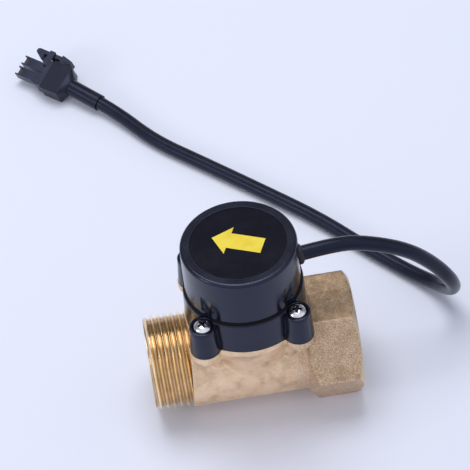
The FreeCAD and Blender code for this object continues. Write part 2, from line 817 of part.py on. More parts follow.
def make_lead_wires():
    """Two insulated cores that run from the cord's end down to the board."""
    turn = size("exit_bearing")
    start = size(f"{CAP_BORE} - grommet_inner_length")
    level, foot = size(EXIT), size(BOARD_TOP)
    radius, spacing, bend = size("lead_wire_radius"), size("lead_wire_spacing"), size("lead_wire_bend")
    wires = []
    for side in (-0.5, 0.5):
        across = side * spacing
        far, near = Vector(start, across, level), Vector(start - bend, across, level - bend)
        corner = bend * (1 - math.sqrt(0.5))
        middle = Vector(start - bend + corner, across, level - corner)
        drop = Part.LineSegment(near, Vector(near.x, across, foot))
        path = Part.Wire([Part.Arc(far, middle, near).toShape(), drop.toShape()])
        section = Part.Wire(Part.Circle(far, Vector(1, 0, 0), radius).toShape())
        wires.append(path.makePipeShell([section], True, True))
    piece = doc.addObject("Part::Feature", "lead_wire_form")
    piece.Shape = Part.makeCompound(wires)
    piece.Placement = Placement(Vector(), Rotation(Vector(0, 0, 1), turn))
    name_piece(piece, "lead_wires")


# The cord's route, chosen by hand: out of the grommet, over in a free arch, down to the
# standing surface behind the inlet end, and back past the housing to the connector.
CORD_ROUTE = [
    (33.5, 5.9, 58.6),
    (46.0, 6.3, 54.8),
    (57.9, 7.6, 47.2),
    (66.7, 9.0, 36.5),
    (71.9, 9.7, 27.2),
    (74.1, 14.9, 16.7),
    (73.0, 20.9, 9.5),
    (69.3, 29.2, 4.4),
    (61.3, 38.4, 2.65),
    (48.2, 53.1, 2.65),
    (34.0, 70.9, 2.65),
    (15.7, 89.1, 2.65),
    (-4.2, 108.5, 2.65),
    (-20.2, 123.7, 2.65),
    (-32.7, 141.5, 3.45),
]
CONNECTOR_TIP = Vector(-65.9, 172.6, 5.55)
CONNECTOR_LIE = Rotation(Vector(0, 0, 1), -41.7) * Rotation(Vector(1, 0, 0), 20)
SLEEVE_LIE = Rotation(Vector(0, 0, 1), -44.5) * Rotation(Vector(0, 1, 0), 5.3)


def connector_placement():
    """The connector's own frame: X to the cord, Y from silo to latch, Z off its flat side."""
    return Placement(CONNECTOR_TIP, CONNECTOR_LIE)


def sleeve_placement():
    """The sleeve starts in the boot's neck and hangs a little to one side."""
    neck = size(f"{FLANGE_END} + boot_length + boot_taper - sleeve_entry")
    return Placement(connector_placement().multVec(Vector(neck, 0, 0)), SLEEVE_LIE)


def cord_ends():
    """The cord starts inside the grommet and ends just inside the sleeve's rear face."""
    bearing = math.radians(size("exit_bearing"))
    reach = size(f"{CAP_BORE} - grommet_inner_length")
    start = Vector(reach * math.cos(bearing), reach * math.sin(bearing), size(EXIT))
    return start, sleeve_placement().multVec(Vector(size("sleeve_length"), 0, 0))


def make_cord():
    """Straight runs joined by the largest tangent arcs that they allow."""
    start, end = cord_ends()
    points = [start, *[Vector(*point) for point in CORD_ROUTE], end]
    runs = [(b - a).Length for a, b in zip(points, points[1:])]
    edges, here = [], points[0]
    for index in range(1, len(points) - 1):
        before = (points[index] - points[index - 1]).normalize()
        after = (points[index + 1] - points[index]).normalize()
        half_turn = before.getAngle(after) / 2
        reach = 0.45 * min(runs[index - 1], runs[index])
        radius = reach / math.tan(half_turn)
        arc_start = points[index] - before * reach
        arc_end = points[index] + after * reach
        to_centre = (after - before).normalize() * (radius / math.cos(half_turn))
        centre = points[index] + to_centre
        middle = centre - to_centre.normalize() * radius
        edges.append(Part.LineSegment(here, arc_start).toShape())
        edges.append(Part.Arc(arc_start, middle, arc_end).toShape())
        here = arc_end
        turn = math.degrees(2 * half_turn)
        print(f"cord point {index}: run {runs[index - 1]:.1f}, turn {turn:.1f}, radius {radius:.1f}")
    edges.append(Part.LineSegment(here, points[-1]).toShape())
    path = Part.Wire(edges)
    bore = size("cord_diameter") / 2
    section = Part.Wire(Part.Circle(points[0], (points[1] - points[0]), bore).toShape())
    tube = path.makePipeShell([section], True, True)
    expected = math.pi * bore ** 2 * path.Length
    print(f"cord length {path.Length:.1f}, volume {tube.Volume:.1f} against {expected:.1f}")
    piece = doc.addObject("Part::Feature", "cord_form")
    piece.Shape = tube
    name_piece(piece, "cord")


def settle(piece, label, placement=None):
    """Lay a piece that was made in the connector's own frame where the connector lies."""
    piece.Placement = placement or connector_placement()
    return name_piece(piece, label)


def make_connector():
    hollow = "(silo_side - 2 * silo_wall)"
    room_side = "(contact_side - 2 * contact_wall)"
    contact_length = "silo_length - contact_inset"
    pieces = []
    holes = []
    contacts = []
    for number, side in enumerate((-0.5, 0.5), start=1):
        across = f"({side} * silo_pitch)"
        silo_reach = "silo_length + joint_overlap"
        pieces.append(lying_block(f"silo_{number}", "0", across, silo_reach, "silo_side", "silo_side"))
        holes.append(lying_block(f"silo_hollow_{number}", "-1", across, "silo_length + 1", hollow, hollow))
        # A window opens the silo's flat side at its mouth.
        holes.append(
            solid(
                "Box", f"silo_window_{number}",
                ("-1", f"{across} - {hollow} / 2", "silo_side / 2 - 2 * silo_wall"),
                Length="silo_window + 1", Width=hollow, Height="silo_side",
            )
        )
        outer = lying_block(
            f"contact_outer_{number}", "contact_inset", across,
            contact_length, "contact_side", "contact_side",
        )
        room = lying_block(
            f"contact_room_{number}", "contact_inset - 1", across,
            contact_length, room_side, room_side,
        )
        contacts.append(cut(f"contact_{number}", outer, room))
    flange_width = "(flange_half_up + flange_half_down)"
    flange_height = "2 * flange_half_thick"
    pieces.append(
        lying_block("flange", "silo_length", FLANGE_MIDDLE, "flange_length", flange_width, flange_height)
    )
    # A sloping brace runs from the lower silo's edge to the flange.
    edge = "(silo_pitch / 2 + silo_side / 2)"
    pieces.append(
        padded(
            "flange_brace",
            "XY_Plane",
            [
                ("silo_length - brace_run", f"-{edge}"),
                ("silo_length", "-flange_half_down"),
                ("silo_length + joint_overlap", "-flange_half_down"),
                ("silo_length + joint_overlap", f"joint_overlap - {edge}"),
                ("silo_length - brace_run", f"joint_overlap - {edge}"),
            ],
            "silo_side",
        )
    )
    # The pivot post for the latch, with its pin, stands on the edge of the upper silo.
    for number, side in enumerate((-1, 1), start=1):
        middle = f"{side} * (latch_width / 2 + latch_side_play + post_thickness / 2)"
        pieces.append(
            solid(
                "Box", f"post_{number}",
                ("latch_pivot - post_reach", f"{edge} - 1", f"({middle}) - post_thickness / 2"),
                Length="2 * post_reach",
                Width=f"latch_offset + latch_pin_radius + post_rim - {edge} + 1",
                Height="post_thickness",
            )
        )
    half_pin = "(latch_width / 2 + latch_side_play + post_thickness)"
    pin_foot = ("latch_pivot", "latch_offset", f"-{half_pin}")
    pieces.append(rod("latch_pin", pin_foot, "latch_pin_radius", f"2 * {half_pin}"))
    pieces.append(
        lying_block(
            "post_root", "latch_pivot - post_reach",
            f"({edge} + (post_root_height - joint_overlap) / 2)",
            "silo_length - latch_pivot + post_reach + joint_overlap",
            "post_root_height + joint_overlap", f"2 * {half_pin}",
        )
    )
    body = cut("connector_form", fuse("connector_blank", *pieces), *holes)
    settle(gather("connector_housing_form", [body]), "connector_housing")
    settle(gather("contact_pair", contacts), "contact_sockets")


def gather(name, parts):
    group = doc.addObject("Part::Compound", name)
    group.Links = parts
    return group


def lying_block(name, start, across, length, width, height):
    """A box in the connector's frame: it starts at start along X and is centred in Y and Z."""
    spot = (start, f"{across} - ({width}) / 2", f"-({height}) / 2")
    return solid("Box", name, spot, Length=length, Width=width, Height=height)


def make_latch():
    """The rocking arm: a hook over the silos' front, an eye on the post, a thumb pad behind."""
    face = "(latch_offset - latch_thickness / 2)"
    back = "(latch_offset + latch_thickness / 2)"
    arm = padded(
        "latch_arm",
        "XY_Plane",
        [
            ("latch_front", f"{back} - nose_drop"),
            ("latch_front", f"{face} - hook_drop + hook_tip_rise"),
            ("latch_front + hook_length - hook_tip_run", f"{face} - hook_drop"),
            ("latch_front + hook_length", f"{face} - hook_drop"),
            ("latch_front + hook_length", face),
            ("latch_rear", f"{face} - tail_sag"),
            ("latch_rear", f"{back} - tail_edge_drop"),
            ("latch_rear - tail_length", f"{back} + tail_rise"),
            ("latch_rear - tail_length", back),
            ("latch_front + nose_run", back),
        ],
        "latch_width",
    )
    pivot = ("latch_pivot", "latch_offset")
    eye = rod("latch_eye", (*pivot, "-latch_width / 2"), "latch_eye_radius", "latch_width")
    hole_radius = "latch_pin_radius + latch_play"
    bore = rod("latch_bore", (*pivot, "-latch_width"), hole_radius, "2 * latch_width")
    latch = cut("latch_cut", fuse("latch_blank", arm, eye), bore)
    settle(gather("latch_form", [latch]), "connector_latch")


def make_boot():
    """The hood behind the flange narrows to the sleeve that holds the cord."""
    width = "(flange_half_up + flange_half_down + 2 * boot_swell)"
    height = "(2 * flange_half_thick + 2 * boot_swell)"
    hood = lying_block("boot_hood", FLANGE_END, FLANGE_MIDDLE, "boot_length", width, height)
    sleeve = rod("sleeve_form", ("0", "0", "0"), "sleeve_radius", "sleeve_length", ALONG_X)
    rear = doc.addObject("Part::Plane", "boot_rear_outline")
    rear.setExpression("Length", formula(height))
    rear.setExpression("Width", formula(width))
    rear_corner = (f"{FLANGE_END} + boot_length", f"{FLANGE_MIDDLE} - {width} / 2", f"{height} / 2")
    place(rear, rear_corner, ALONG_X)
    neck = doc.addObject("Part::Circle", "boot_neck_outline")
    neck.setExpression("Radius", formula("sleeve_radius"))
    place(neck, (f"{FLANGE_END} + boot_length + boot_taper", "0", "0"), ALONG_X)
    taper_piece = doc.addObject("Part::Loft", "boot_taper_form")
    taper_piece.Sections = [rear, neck]
    taper_piece.Solid = True
    taper_piece.Ruled = True
    settled_sleeve = settle(gather("sleeve_group", [sleeve]), "cord_sleeve", sleeve_placement())
    whole_boot = gather("boot_form", [fuse("boot_blank", hood, taper_piece)])
    whole_boot.Placement = connector_placement()
    name_piece(cut("boot_socket_cut", whole_boot, settled_sleeve), "connector_boot")


make_brass_body()
make_base_housing()
make_cap_housing()
make_label_disc()
make_base_o_ring()
make_base_screws()
make_flap()
make_flap_pin()
make_flap_spring()
make_circuit()
make_grommet()
make_lead_wires()
make_cord()
make_connector()
make_latch()
make_boot()
doc.recompute()

for item in doc.Objects:
    if "Invalid" in item.State or "Error" in item.State:
        raise RuntimeError(f"{item.Name} failed: {item.State}")
for label, piece in PIECES.items():
    if piece.Shape.isNull() or not piece.Shape.isValid():
        raise RuntimeError(f"{label} has no valid shape")
    if not piece.Shape.Solids:
        raise RuntimeError(f"{label} holds no solid")

os.makedirs("parts", exist_ok=True)
for label, piece in PIECES.items():
    piece.Shape.exportStep(f"parts/{label}.step")
    box = piece.Shape.BoundBox
    low, high = (box.XMin, box.YMin, box.ZMin), (box.XMax, box.YMax, box.ZMax)
    reach = ", ".join(f"{a:.2f}..{b:.2f}" for a, b in zip(low, high))
    print(f"{label}: {len(piece.Shape.Solids)} solid, {piece.Shape.Volume:.0f} mm3, {reach}")
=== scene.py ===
"""A water flow switch, dressed for its photograph.

A cast brass body with a threaded outlet and a hexagonal inlet, a black switch housing,
and a two-core lead with its connector. All lengths are in metres unless a comment says
otherwise.
"""

import math

import bmesh
import bpy
from mathutils import Matrix, Vector


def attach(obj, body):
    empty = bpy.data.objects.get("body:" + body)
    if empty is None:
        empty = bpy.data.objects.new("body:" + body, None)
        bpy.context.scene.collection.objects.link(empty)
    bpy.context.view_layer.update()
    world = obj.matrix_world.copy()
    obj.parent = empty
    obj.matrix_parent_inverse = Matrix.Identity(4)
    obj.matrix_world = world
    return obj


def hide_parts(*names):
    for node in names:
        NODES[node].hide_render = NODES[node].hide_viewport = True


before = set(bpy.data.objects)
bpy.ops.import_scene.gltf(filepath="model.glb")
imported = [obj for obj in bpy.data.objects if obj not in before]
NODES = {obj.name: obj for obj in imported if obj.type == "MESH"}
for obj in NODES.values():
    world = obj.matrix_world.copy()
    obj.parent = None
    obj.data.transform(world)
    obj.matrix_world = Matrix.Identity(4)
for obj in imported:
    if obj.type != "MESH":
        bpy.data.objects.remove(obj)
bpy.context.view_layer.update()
MM = 0.001

# ---------------------------------------------------------------- sizes

AXIS_HEIGHT = 19.4 * MM
PIPE_CENTRE = Vector((0, 0, AXIS_HEIGHT))
BORE = 12.5 * MM
SHANK = 17.0 * MM
PAD = 21.0 * MM
PAD_FOOT = 38.25 * MM
PARTING = 40.95 * MM

THREAD_PITCH = 2.309 * MM
THREAD_CREST = 16.62 * MM
THREAD_ROOT = 15.16 * MM
THREAD_END = -35.5 * MM
THREAD_STOP = -20.0 * MM
THREAD_FORM = [0, 0.1, 0.16, 0.22, 0.42, 0.5, 0.58, 0.78, 0.84, 0.9, 1.0]
THREAD_RISE = [0, 0.03, 0.09, 0.2, 0.86, 1.0, 0.86, 0.2, 0.09, 0.03, 0]

INLET_END = 36.5 * MM
SOCKET_DEPTH = 16.0 * MM
HEX_START = 17.6 * MM
HEX_CORNER = 22.4 * MM
HEX_SHOULDER_END = 21.0 * MM

SCREW_SPREAD = 16.0 * MM
CORNERS = [(1, 1), (-1, 1), (-1, -1), (1, -1)]
SCREW_SPOTS = [(side * SCREW_SPREAD, front * SCREW_SPREAD) for side, front in CORNERS]
LOBE_TOP = 51.1 * MM
LOBE_RADIUS = 4.5 * MM
HEAD_RADIUS = 3.2 * MM
HEAD_HEIGHT = 2.3 * MM
DRIVER_ROOM = 3.78 * MM

SEAM = 53.7 * MM
LABEL_TOP = 72.3 * MM
BEAD_RADIUS = 16.55 * MM
BEAD_THICK = 0.2 * MM

THREAD_STEPS = 72
ROUND_STEPS = 96
FINE_STEPS = 128
SMALL_STEPS = 48
WELD = 0.002 * MM
NEAR = 0.01 * MM


def put_out(name, data):
    """An object for a mesh, curve, lamp or camera, linked to the scene."""
    made = bpy.data.objects.new(name, data)
    bpy.context.scene.collection.objects.link(made)
    return made


# ---------------------------------------------------------------- camera and lead

CAMERA_PLACE = Vector((-0.034746, -0.678692, 0.799604))
CAMERA_RIGHT = Vector((0.98676056, -0.13883792, -0.0838309))
CAMERA_UP = Vector((0.15851192, 0.71622892, 0.67962497))
CAMERA_BACK = CAMERA_RIGHT.cross(CAMERA_UP)
CAMERA_LENS = 229.77
CAMERA_SENSOR = 36
CAMERA_CLIP = (0.05, 20)

LEAD_THICK = 5.2 * MM
LEAD_ROUTE = [  # in millimetres, from inside the cap to the sleeve
    (14.67, 2.59, 58.6),
    (33.5, 5.9, 58.6),
    (46.0, 6.3, 54.8),
    (57.9, 7.6, 47.2),
    (66.7, 9.0, 36.5),
    (71.9, 9.7, 27.2),
    (74.1, 14.9, 16.7),
    (73.0, 20.9, 9.5),
    (69.3, 29.2, 4.4),
    (61.3, 38.4, 2.65),
    (48.2, 53.1, 2.65),
    (34.0, 70.9, 2.65),
    (15.7, 89.1, 2.65),
    (-4.2, 108.5, 2.65),
    (-20.2, 123.7, 2.65),
    (-32.7, 141.5, 3.45),
    (-38.36, 147.11, 4.2),
]


def set_camera():
    """The view that the photograph was taken from."""
    lens = bpy.data.cameras.new("photo_camera")
    lens.lens = CAMERA_LENS
    lens.sensor_width = CAMERA_SENSOR
    lens.clip_start, lens.clip_end = CAMERA_CLIP
    camera = put_out("photo_camera", lens)
    turn = Matrix((CAMERA_RIGHT, CAMERA_UP, CAMERA_BACK)).transposed().to_4x4()
    camera.matrix_world = Matrix.Translation(CAMERA_PLACE) @ turn
    bpy.context.scene.camera = camera


def lay_lead(jacket):
    """The lead, laid along its route with its real length."""
    line = bpy.data.curves.new("power_lead", "CURVE")
    line.dimensions = "3D"
    line.bevel_depth = LEAD_THICK / 2
    line.bevel_resolution = 7
    line.resolution_u = 14
    line.use_fill_caps = True
    spline = line.splines.new("NURBS")
    spline.points.add(len(LEAD_ROUTE) - 1)
    for point, place in zip(spline.points, LEAD_ROUTE):
        point.co = (*(MM * step for step in place), 1)
    spline.order_u = 3
    spline.use_endpoint_u = True
    line.materials.append(jacket)
    lead = put_out("power_lead", line)
    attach(lead, "switch")
    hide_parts("cord")


# ---------------------------------------------------------------- shader building


def tone(red, green, blue):
    """A colour from its 0 to 255 display values."""
    parts = [channel / 255 for channel in (red, green, blue)]
    linear = [p / 12.92 if p <= 0.04045 else ((p + 0.055) / 1.055) ** 2.4 for p in parts]
    return (*linear, 1)


def feed(tree, socket, source):
    """A socket takes a link from another socket, or a plain value."""
    if isinstance(source, bpy.types.NodeSocket):
        tree.links.new(source, socket)
    else:
        socket.default_value = source


def put(tree, kind, inputs=(), **settings):
    """A new shader node with its settings, and what goes into its sockets."""
    made = tree.nodes.new(kind)
    for name, value in settings.items():
        setattr(made, name, value)
    for name, source in dict(inputs).items():
        feed(tree, made.inputs[name], source)
    return made


def sums(tree, operation, first, second=0.0, third=0.0):
    """One step of arithmetic on values."""
    inputs = {0: first, 1: second, 2: third}
    return put(tree, "ShaderNodeMath", inputs, operation=operation).outputs[0]


def mixed(tree, share, first, second):
    """Two values mixed by a share: the mix node's sockets 0, 2 and 3 are for values."""
    return put(tree, "ShaderNodeMix", {0: share, 2: first, 3: second}).outputs[0]


def blended(tree, share, first, second):
    """Two colours mixed by a share: the mix node's sockets 0, 6 and 7 are for colours."""
    made = put(tree, "ShaderNodeMix", data_type="RGBA")
    for socket, source in ((0, share), (6, first), (7, second)):
        feed(tree, made.inputs[socket], source)
    return made.outputs[2]


def spread(tree, value, low, high, out_low=0.0, out_high=1.0):
    """A value stretched from one range onto another, and kept in it."""
    inputs = {0: value, 1: low, 2: high, 3: out_low, 4: out_high}
    return put(tree, "ShaderNodeMapRange", inputs).outputs[0]


def group_of(name, inputs, outputs):
    """An empty node group with its sockets; returns the group, its entry and its exit."""
    tree = bpy.data.node_groups.new(name, "ShaderNodeTree")
    for word, kind, start in inputs:
        socket = tree.interface.new_socket(word, in_out="INPUT", socket_type="NodeSocket" + kind)
        socket.default_value = start
    for word, kind in outputs:
        tree.interface.new_socket(word, in_out="OUTPUT", socket_type="NodeSocket" + kind)
    return tree, tree.nodes.new("NodeGroupInput"), tree.nodes.new("NodeGroupOutput")


def make_grain_group():
    """Fine surface grain of a given size in millimetres, with a few larger dips."""
    tree, entry, leave = group_of(
        "surface grain",
        [("Size", "Float", 0.4), ("Dips", "Float", 0.3)],
        [("Height", "Float"), ("Specks", "Float")],
    )
    place = put(tree, "ShaderNodeTexCoord").outputs["Object"]
    fineness = sums(tree, "DIVIDE", 1000.0, entry.outputs["Size"])
    grain = put(
        tree,
        "ShaderNodeTexNoise",
        {"Vector": place, "Scale": fineness, "Detail": 3.0, "Roughness": 0.6},
    ).outputs["Fac"]
    coarse = sums(tree, "MULTIPLY", fineness, 0.42)
    cells = put(tree, "ShaderNodeTexVoronoi", {"Vector": place, "Scale": coarse})
    specks = spread(tree, cells.outputs["Distance"], 0.12, 0.42, 1.0, 0.0)
    dips = sums(tree, "MULTIPLY", specks, entry.outputs["Dips"])
    feed(tree, leave.inputs["Height"], sums(tree, "SUBTRACT", grain, dips))
    feed(tree, leave.inputs["Specks"], specks)
    return tree


def make_mottle_group():
    """A colour that drifts darker and lighter in soft patches of a given size in millimetres."""
    tree, entry, leave = group_of(
        "soft mottling",
        [
            ("Colour", "Color", (0.5, 0.5, 0.5, 1)),
            ("Dark", "Color", (0.1, 0.1, 0.1, 1)),
            ("Light", "Color", (0.9, 0.9, 0.9, 1)),
            ("Patch", "Float", 8.0),
            ("Strength", "Float", 0.3),
        ],
        [("Colour", "Color"), ("Drift", "Float")],
    )
    place = put(tree, "ShaderNodeTexCoord").outputs["Object"]
    scale = sums(tree, "DIVIDE", 1000.0, entry.outputs["Patch"])
    drift = put(
        tree,
        "ShaderNodeTexNoise",
        {"Vector": place, "Scale": scale, "Detail": 4.0, "Roughness": 0.55},
    ).outputs["Fac"]
    low = sums(tree, "MULTIPLY", spread(tree, drift, 0.5, 0.3), entry.outputs["Strength"])
    high = sums(tree, "MULTIPLY", spread(tree, drift, 0.5, 0.7), entry.outputs["Strength"])
    darker = blended(tree, low, entry.outputs["Colour"], entry.outputs["Dark"])
    lighter = blended(tree, high, darker, entry.outputs["Light"])
    feed(tree, leave.inputs["Colour"], lighter)
    feed(tree, leave.inputs["Drift"], drift)
    return tree


def make_edge_group():
    """Softened edges: a rounded normal, and a mask that is 1 along sharp edges."""
    tree, entry, leave = group_of(
        "soft edges",
        [("Radius", "Float", 0.0003), ("Breakup", "Float", 0.5)],
        [("Normal", "Vector"), ("Edge mask", "Float")],
    )
    rounded = put(tree, "ShaderNodeBevel", {"Radius": entry.outputs["Radius"]}, samples=4)
    true_normal = put(tree, "ShaderNodeNewGeometry").outputs["Normal"]
    facing = put(
        tree,
        "ShaderNodeVectorMath",
        {0: rounded.outputs["Normal"], 1: true_normal},
        operation="DOT_PRODUCT",
    ).outputs["Value"]
    bent = spread(tree, facing, 0.99, 0.88)
    place = put(tree, "ShaderNodeTexCoord").outputs["Object"]
    noise = put(
        tree, "ShaderNodeTexNoise", {"Vector": place, "Scale": 900.0, "Detail": 3.0}
    ).outputs["Fac"]
    patchy = spread(tree, noise, 0.35, 0.62)
    kept = sums(tree, "SUBTRACT", 1.0, entry.outputs["Breakup"])
    share = sums(tree, "MULTIPLY_ADD", patchy, entry.outputs["Breakup"], kept)
    feed(tree, leave.inputs["Normal"], rounded.outputs["Normal"])
    feed(tree, leave.inputs["Edge mask"], sums(tree, "MULTIPLY", bent, share))
    return tree


def make_dust_and_top_shade_group():
    """A tone that lies on faces that look up, in loose patches: pale fine dust on most finishes,
    and on the cast brass a dark brown painted shade that darkens the tops.
    """
    tree, entry, leave = group_of(
        "settled dust and painted top shade",
        [
            ("Colour", "Color", (0.1, 0.1, 0.1, 1)),
            ("Top tone", "Color", (0.5, 0.5, 0.5, 1)),
            ("Amount", "Float", 0.1),
        ],
        [("Colour", "Color"), ("Cover", "Float")],
    )
    normal = put(tree, "ShaderNodeNewGeometry").outputs["Normal"]
    upward = put(tree, "ShaderNodeSeparateXYZ", {0: normal}).outputs["Z"]
    lying = spread(tree, upward, 0.2, 0.95)
    place = put(tree, "ShaderNodeTexCoord").outputs["Object"]
    cloud = put(
        tree,
        "ShaderNodeTexNoise",
        {"Vector": place, "Scale": 260.0, "Detail": 5.0, "Roughness": 0.7},
    ).outputs["Fac"]
    cover = sums(tree, "MULTIPLY", lying, spread(tree, cloud, 0.25, 0.75))
    cover = sums(tree, "MULTIPLY", cover, entry.outputs["Amount"])
    feed(
        tree,
        leave.inputs["Colour"],
        blended(tree, cover, entry.outputs["Colour"], entry.outputs["Top tone"]),
    )
    feed(tree, leave.inputs["Cover"], cover)
    return tree


GRAIN = make_grain_group()
MOTTLE = make_mottle_group()
EDGES = make_edge_group()
DUST_AND_TOP_SHADE = make_dust_and_top_shade_group()


def placed(tree, group, inputs):
    """A group in a material's tree; returns what comes out of it."""
    made = put(tree, "ShaderNodeGroup", node_tree=group)
    for name, source in inputs.items():
        feed(tree, made.inputs[name], source)
    return made.outputs


def blank_material(name):
    """A new material, its tree and its Principled shader."""
    made = bpy.data.materials.new(name)
    made.use_nodes = True
    shader = made.node_tree.nodes["Principled BSDF"]
    return made, made.node_tree, shader


EDGE_BREAKUP = 0.6
ROUGH_SWING = 0.06
GROOVE_TOP = THREAD_CREST - 0.25 * MM
COARSE_REACH = 9 * MM


def flecked(tree, shade, height, dark, light, amount, coarse_from):
    """A shade with dark pits and light peaks, which come in past a place along the pipe."""
    pits = spread(tree, height, 0.34, 0.56, amount, 0.0)
    peaks = spread(tree, height, 0.5, 0.68, 0.0, amount)
    place = put(tree, "ShaderNodeTexCoord").outputs["Object"]
    along = put(tree, "ShaderNodeSeparateXYZ", {0: place}).outputs["X"]
    coarse = spread(tree, along, coarse_from, coarse_from + COARSE_REACH, 0.2, 1.0)
    worn = spread(tree, coarse, 0.2, 1.0, 0.0, 0.3)
    pits = sums(tree, "MULTIPLY", pits, coarse)
    peaks = sums(tree, "MULTIPLY", peaks, sums(tree, "MULTIPLY", coarse, 0.6))
    shade = blended(tree, worn, shade, dark)
    shade = blended(tree, pits, shade, dark)
    return blended(tree, peaks, shade, light)


def groove_shaded(tree, shade, dark, amount):
    """Painted shade: a shade that turns dark in the grooves of the pipe threads, where shade
    falls.
    """
    place = put(tree, "ShaderNodeTexCoord").outputs["Object"]
    parts = put(tree, "ShaderNodeSeparateXYZ", {0: place}).outputs
    rise = sums(tree, "SUBTRACT", parts["Z"], AXIS_HEIGHT)
    square = sums(tree, "MULTIPLY_ADD", rise, rise, sums(tree, "MULTIPLY", parts["Y"], parts["Y"]))
    radius = sums(tree, "SQRT", square)
    return blended(tree, spread(tree, radius, THREAD_ROOT, GROOVE_TOP, amount, 0.0), shade, dark)


def finish(
    name,
    colour,
    dark,
    light,
    rough,
    metal=0.0,
    patch=8.0,
    strength=0.35,
    grain=0.4,
    dips=0.2,
    relief=0.02,
    edge=0.25,
    edge_wear_and_sheen=None,
    edge_wear_and_sheen_share=0.5,
    dust_and_top_shade=0.0,
    dust_and_top_shade_tone=tone(190, 190, 200),
    flecks=0.0,
    coarse_from=0.0,
    groove_shade=0.0,
    specular=0.5,
    tint=(1, 1, 1, 1),
):
    """A finish: mottled colour, grain, softened edges that are lighter from wear and from painted
    sheen, and a little dust, which on the cast brass is painted shade on faces that look up.

    Patch, grain, relief and edge are in millimetres.
    """
    made, tree, shader = blank_material(name)
    drift = {"Colour": colour, "Dark": dark, "Light": light, "Patch": patch, "Strength": strength}
    mottled = placed(tree, MOTTLE, drift)
    height = placed(tree, GRAIN, {"Size": grain, "Dips": dips})["Height"]
    edges = placed(tree, EDGES, {"Radius": edge * MM, "Breakup": EDGE_BREAKUP})
    shade = mottled["Colour"]
    if flecks:
        shade = flecked(tree, shade, height, dark, light, flecks, coarse_from)
    if groove_shade:
        shade = groove_shaded(tree, shade, dark, groove_shade)
    # Edges lighten towards their tone: wear on the brass, and a painted sheen along the edges of
    # the black plastics.
    if edge_wear_and_sheen:
        shade = blended(tree, sums(tree, "MULTIPLY", edges["Edge mask"], edge_wear_and_sheen_share), shade, edge_wear_and_sheen)
    if dust_and_top_shade:
        cover = {"Colour": shade, "Top tone": dust_and_top_shade_tone, "Amount": dust_and_top_shade}
        shade = placed(tree, DUST_AND_TOP_SHADE, cover)["Colour"]
    smooth, dull = rough - ROUGH_SWING, rough + ROUGH_SWING
    feed(tree, shader.inputs["Base Color"], shade)
    feed(tree, shader.inputs["Roughness"], spread(tree, mottled["Drift"], 0.3, 0.7, smooth, dull))
    shader.inputs["Metallic"].default_value = metal
    shader.inputs["Specular IOR Level"].default_value = specular
    shader.inputs["Specular Tint"].default_value = tint
    surface = {"Strength": 1.0, "Distance": relief * MM, "Height": height}
    bump = put(tree, "ShaderNodeBump", {**surface, "Normal": edges["Normal"]})
    feed(tree, shader.inputs["Normal"], bump.outputs["Normal"])
    return made


# ---------------------------------------------------------------- finishes

CAST_BRASS = finish(
    "sand cast brass",
    tone(238, 208, 172),
    tone(140, 108, 78),
    tone(252, 234, 208),
    0.48,
    metal=0.9,
    patch=5,
    strength=0.4,
    grain=0.36,
    dips=0.12,
    relief=0.08,
    edge=0.6,
    edge_wear_and_sheen=tone(250, 232, 208),
    edge_wear_and_sheen_share=0.6,
    flecks=0.65,
    coarse_from=9 * MM,
    # A dark brown laid heavily on faces that look up: painted shade that darkens the tops of the
    # hexagon and barrel.
    dust_and_top_shade=0.85,
    dust_and_top_shade_tone=tone(104, 84, 68),
)
TURNED_BRASS = finish(
    "turned brass face",
    tone(214, 190, 158),
    tone(176, 150, 116),
    tone(238, 218, 192),
    0.42,
    metal=0.95,
    patch=5,
    strength=0.4,
    grain=0.3,
    dips=0.1,
    relief=0.02,
    edge=0.3,
)
CUT_BRASS = finish(
    "machined brass",
    tone(250, 224, 180),
    tone(140, 96, 48),
    tone(255, 244, 220),
    0.2,
    metal=1.0,
    patch=5,
    strength=0.3,
    grain=0.3,
    dips=0.05,
    relief=0.01,
    edge=0.2,
    edge_wear_and_sheen=tone(254, 240, 214),
    edge_wear_and_sheen_share=0.6,
    # the thread's grooves are darkened: painted shade
    groove_shade=0.58,
)
# Dark metal on the faces of the screws' cross recess: painted shade for the hollow.
RECESS_SHADE = finish(
    "painted recess shade",
    tone(64, 62, 68),
    tone(40, 38, 42),
    tone(110, 108, 116),
    0.45,
    metal=1.0,
    patch=1,
    strength=0.5,
    grain=0.2,
    relief=0.01,
    edge=0.05,
)
HOUSING_BLACK = finish(
    "moulded black housing",
    tone(15, 17, 29),
    tone(10, 11, 19),
    tone(24, 27, 42),
    0.19,
    patch=14,
    strength=0.3,
    grain=0.35,
    relief=0.005,
    edge=0.35,
    # lighter bluish edges: painted sheen
    edge_wear_and_sheen=tone(58, 62, 86),
    edge_wear_and_sheen_share=0.25,
    dust_and_top_shade=0.015,
    specular=0.52,
    tint=tone(202, 210, 250),
)
LABEL_BLACK = finish(
    "label film",
    tone(7, 7, 14),
    tone(4, 4, 9),
    tone(12, 12, 22),
    0.12,
    patch=12,
    strength=0.2,
    grain=0.2,
    relief=0.001,
    edge=0.1,
    dust_and_top_shade=0.008,
    specular=0.45,
    tint=tone(205, 210, 250),
)
ARROW_YELLOW = finish(
    "printed yellow",
    tone(246, 220, 52),
    tone(226, 190, 34),
    tone(250, 234, 96),
    0.4,
    patch=5,
    strength=0.4,
    grain=0.15,
    relief=0.003,
    edge=0.05,
)
NICKEL = finish(
    "bright nickel",
    tone(218, 217, 222),
    tone(150, 147, 152),
    tone(244, 244, 250),
    0.22,
    metal=1.0,
    patch=1.5,
    strength=0.6,
    grain=0.3,
    relief=0.006,
    edge=0.2,
)
RUBBER = finish(
    "seal rubber",
    tone(20, 20, 26),
    tone(13, 13, 17),
    tone(36, 36, 44),
    0.55,
    patch=3,
    grain=0.2,
    relief=0.01,
    dust_and_top_shade=0.03,
)
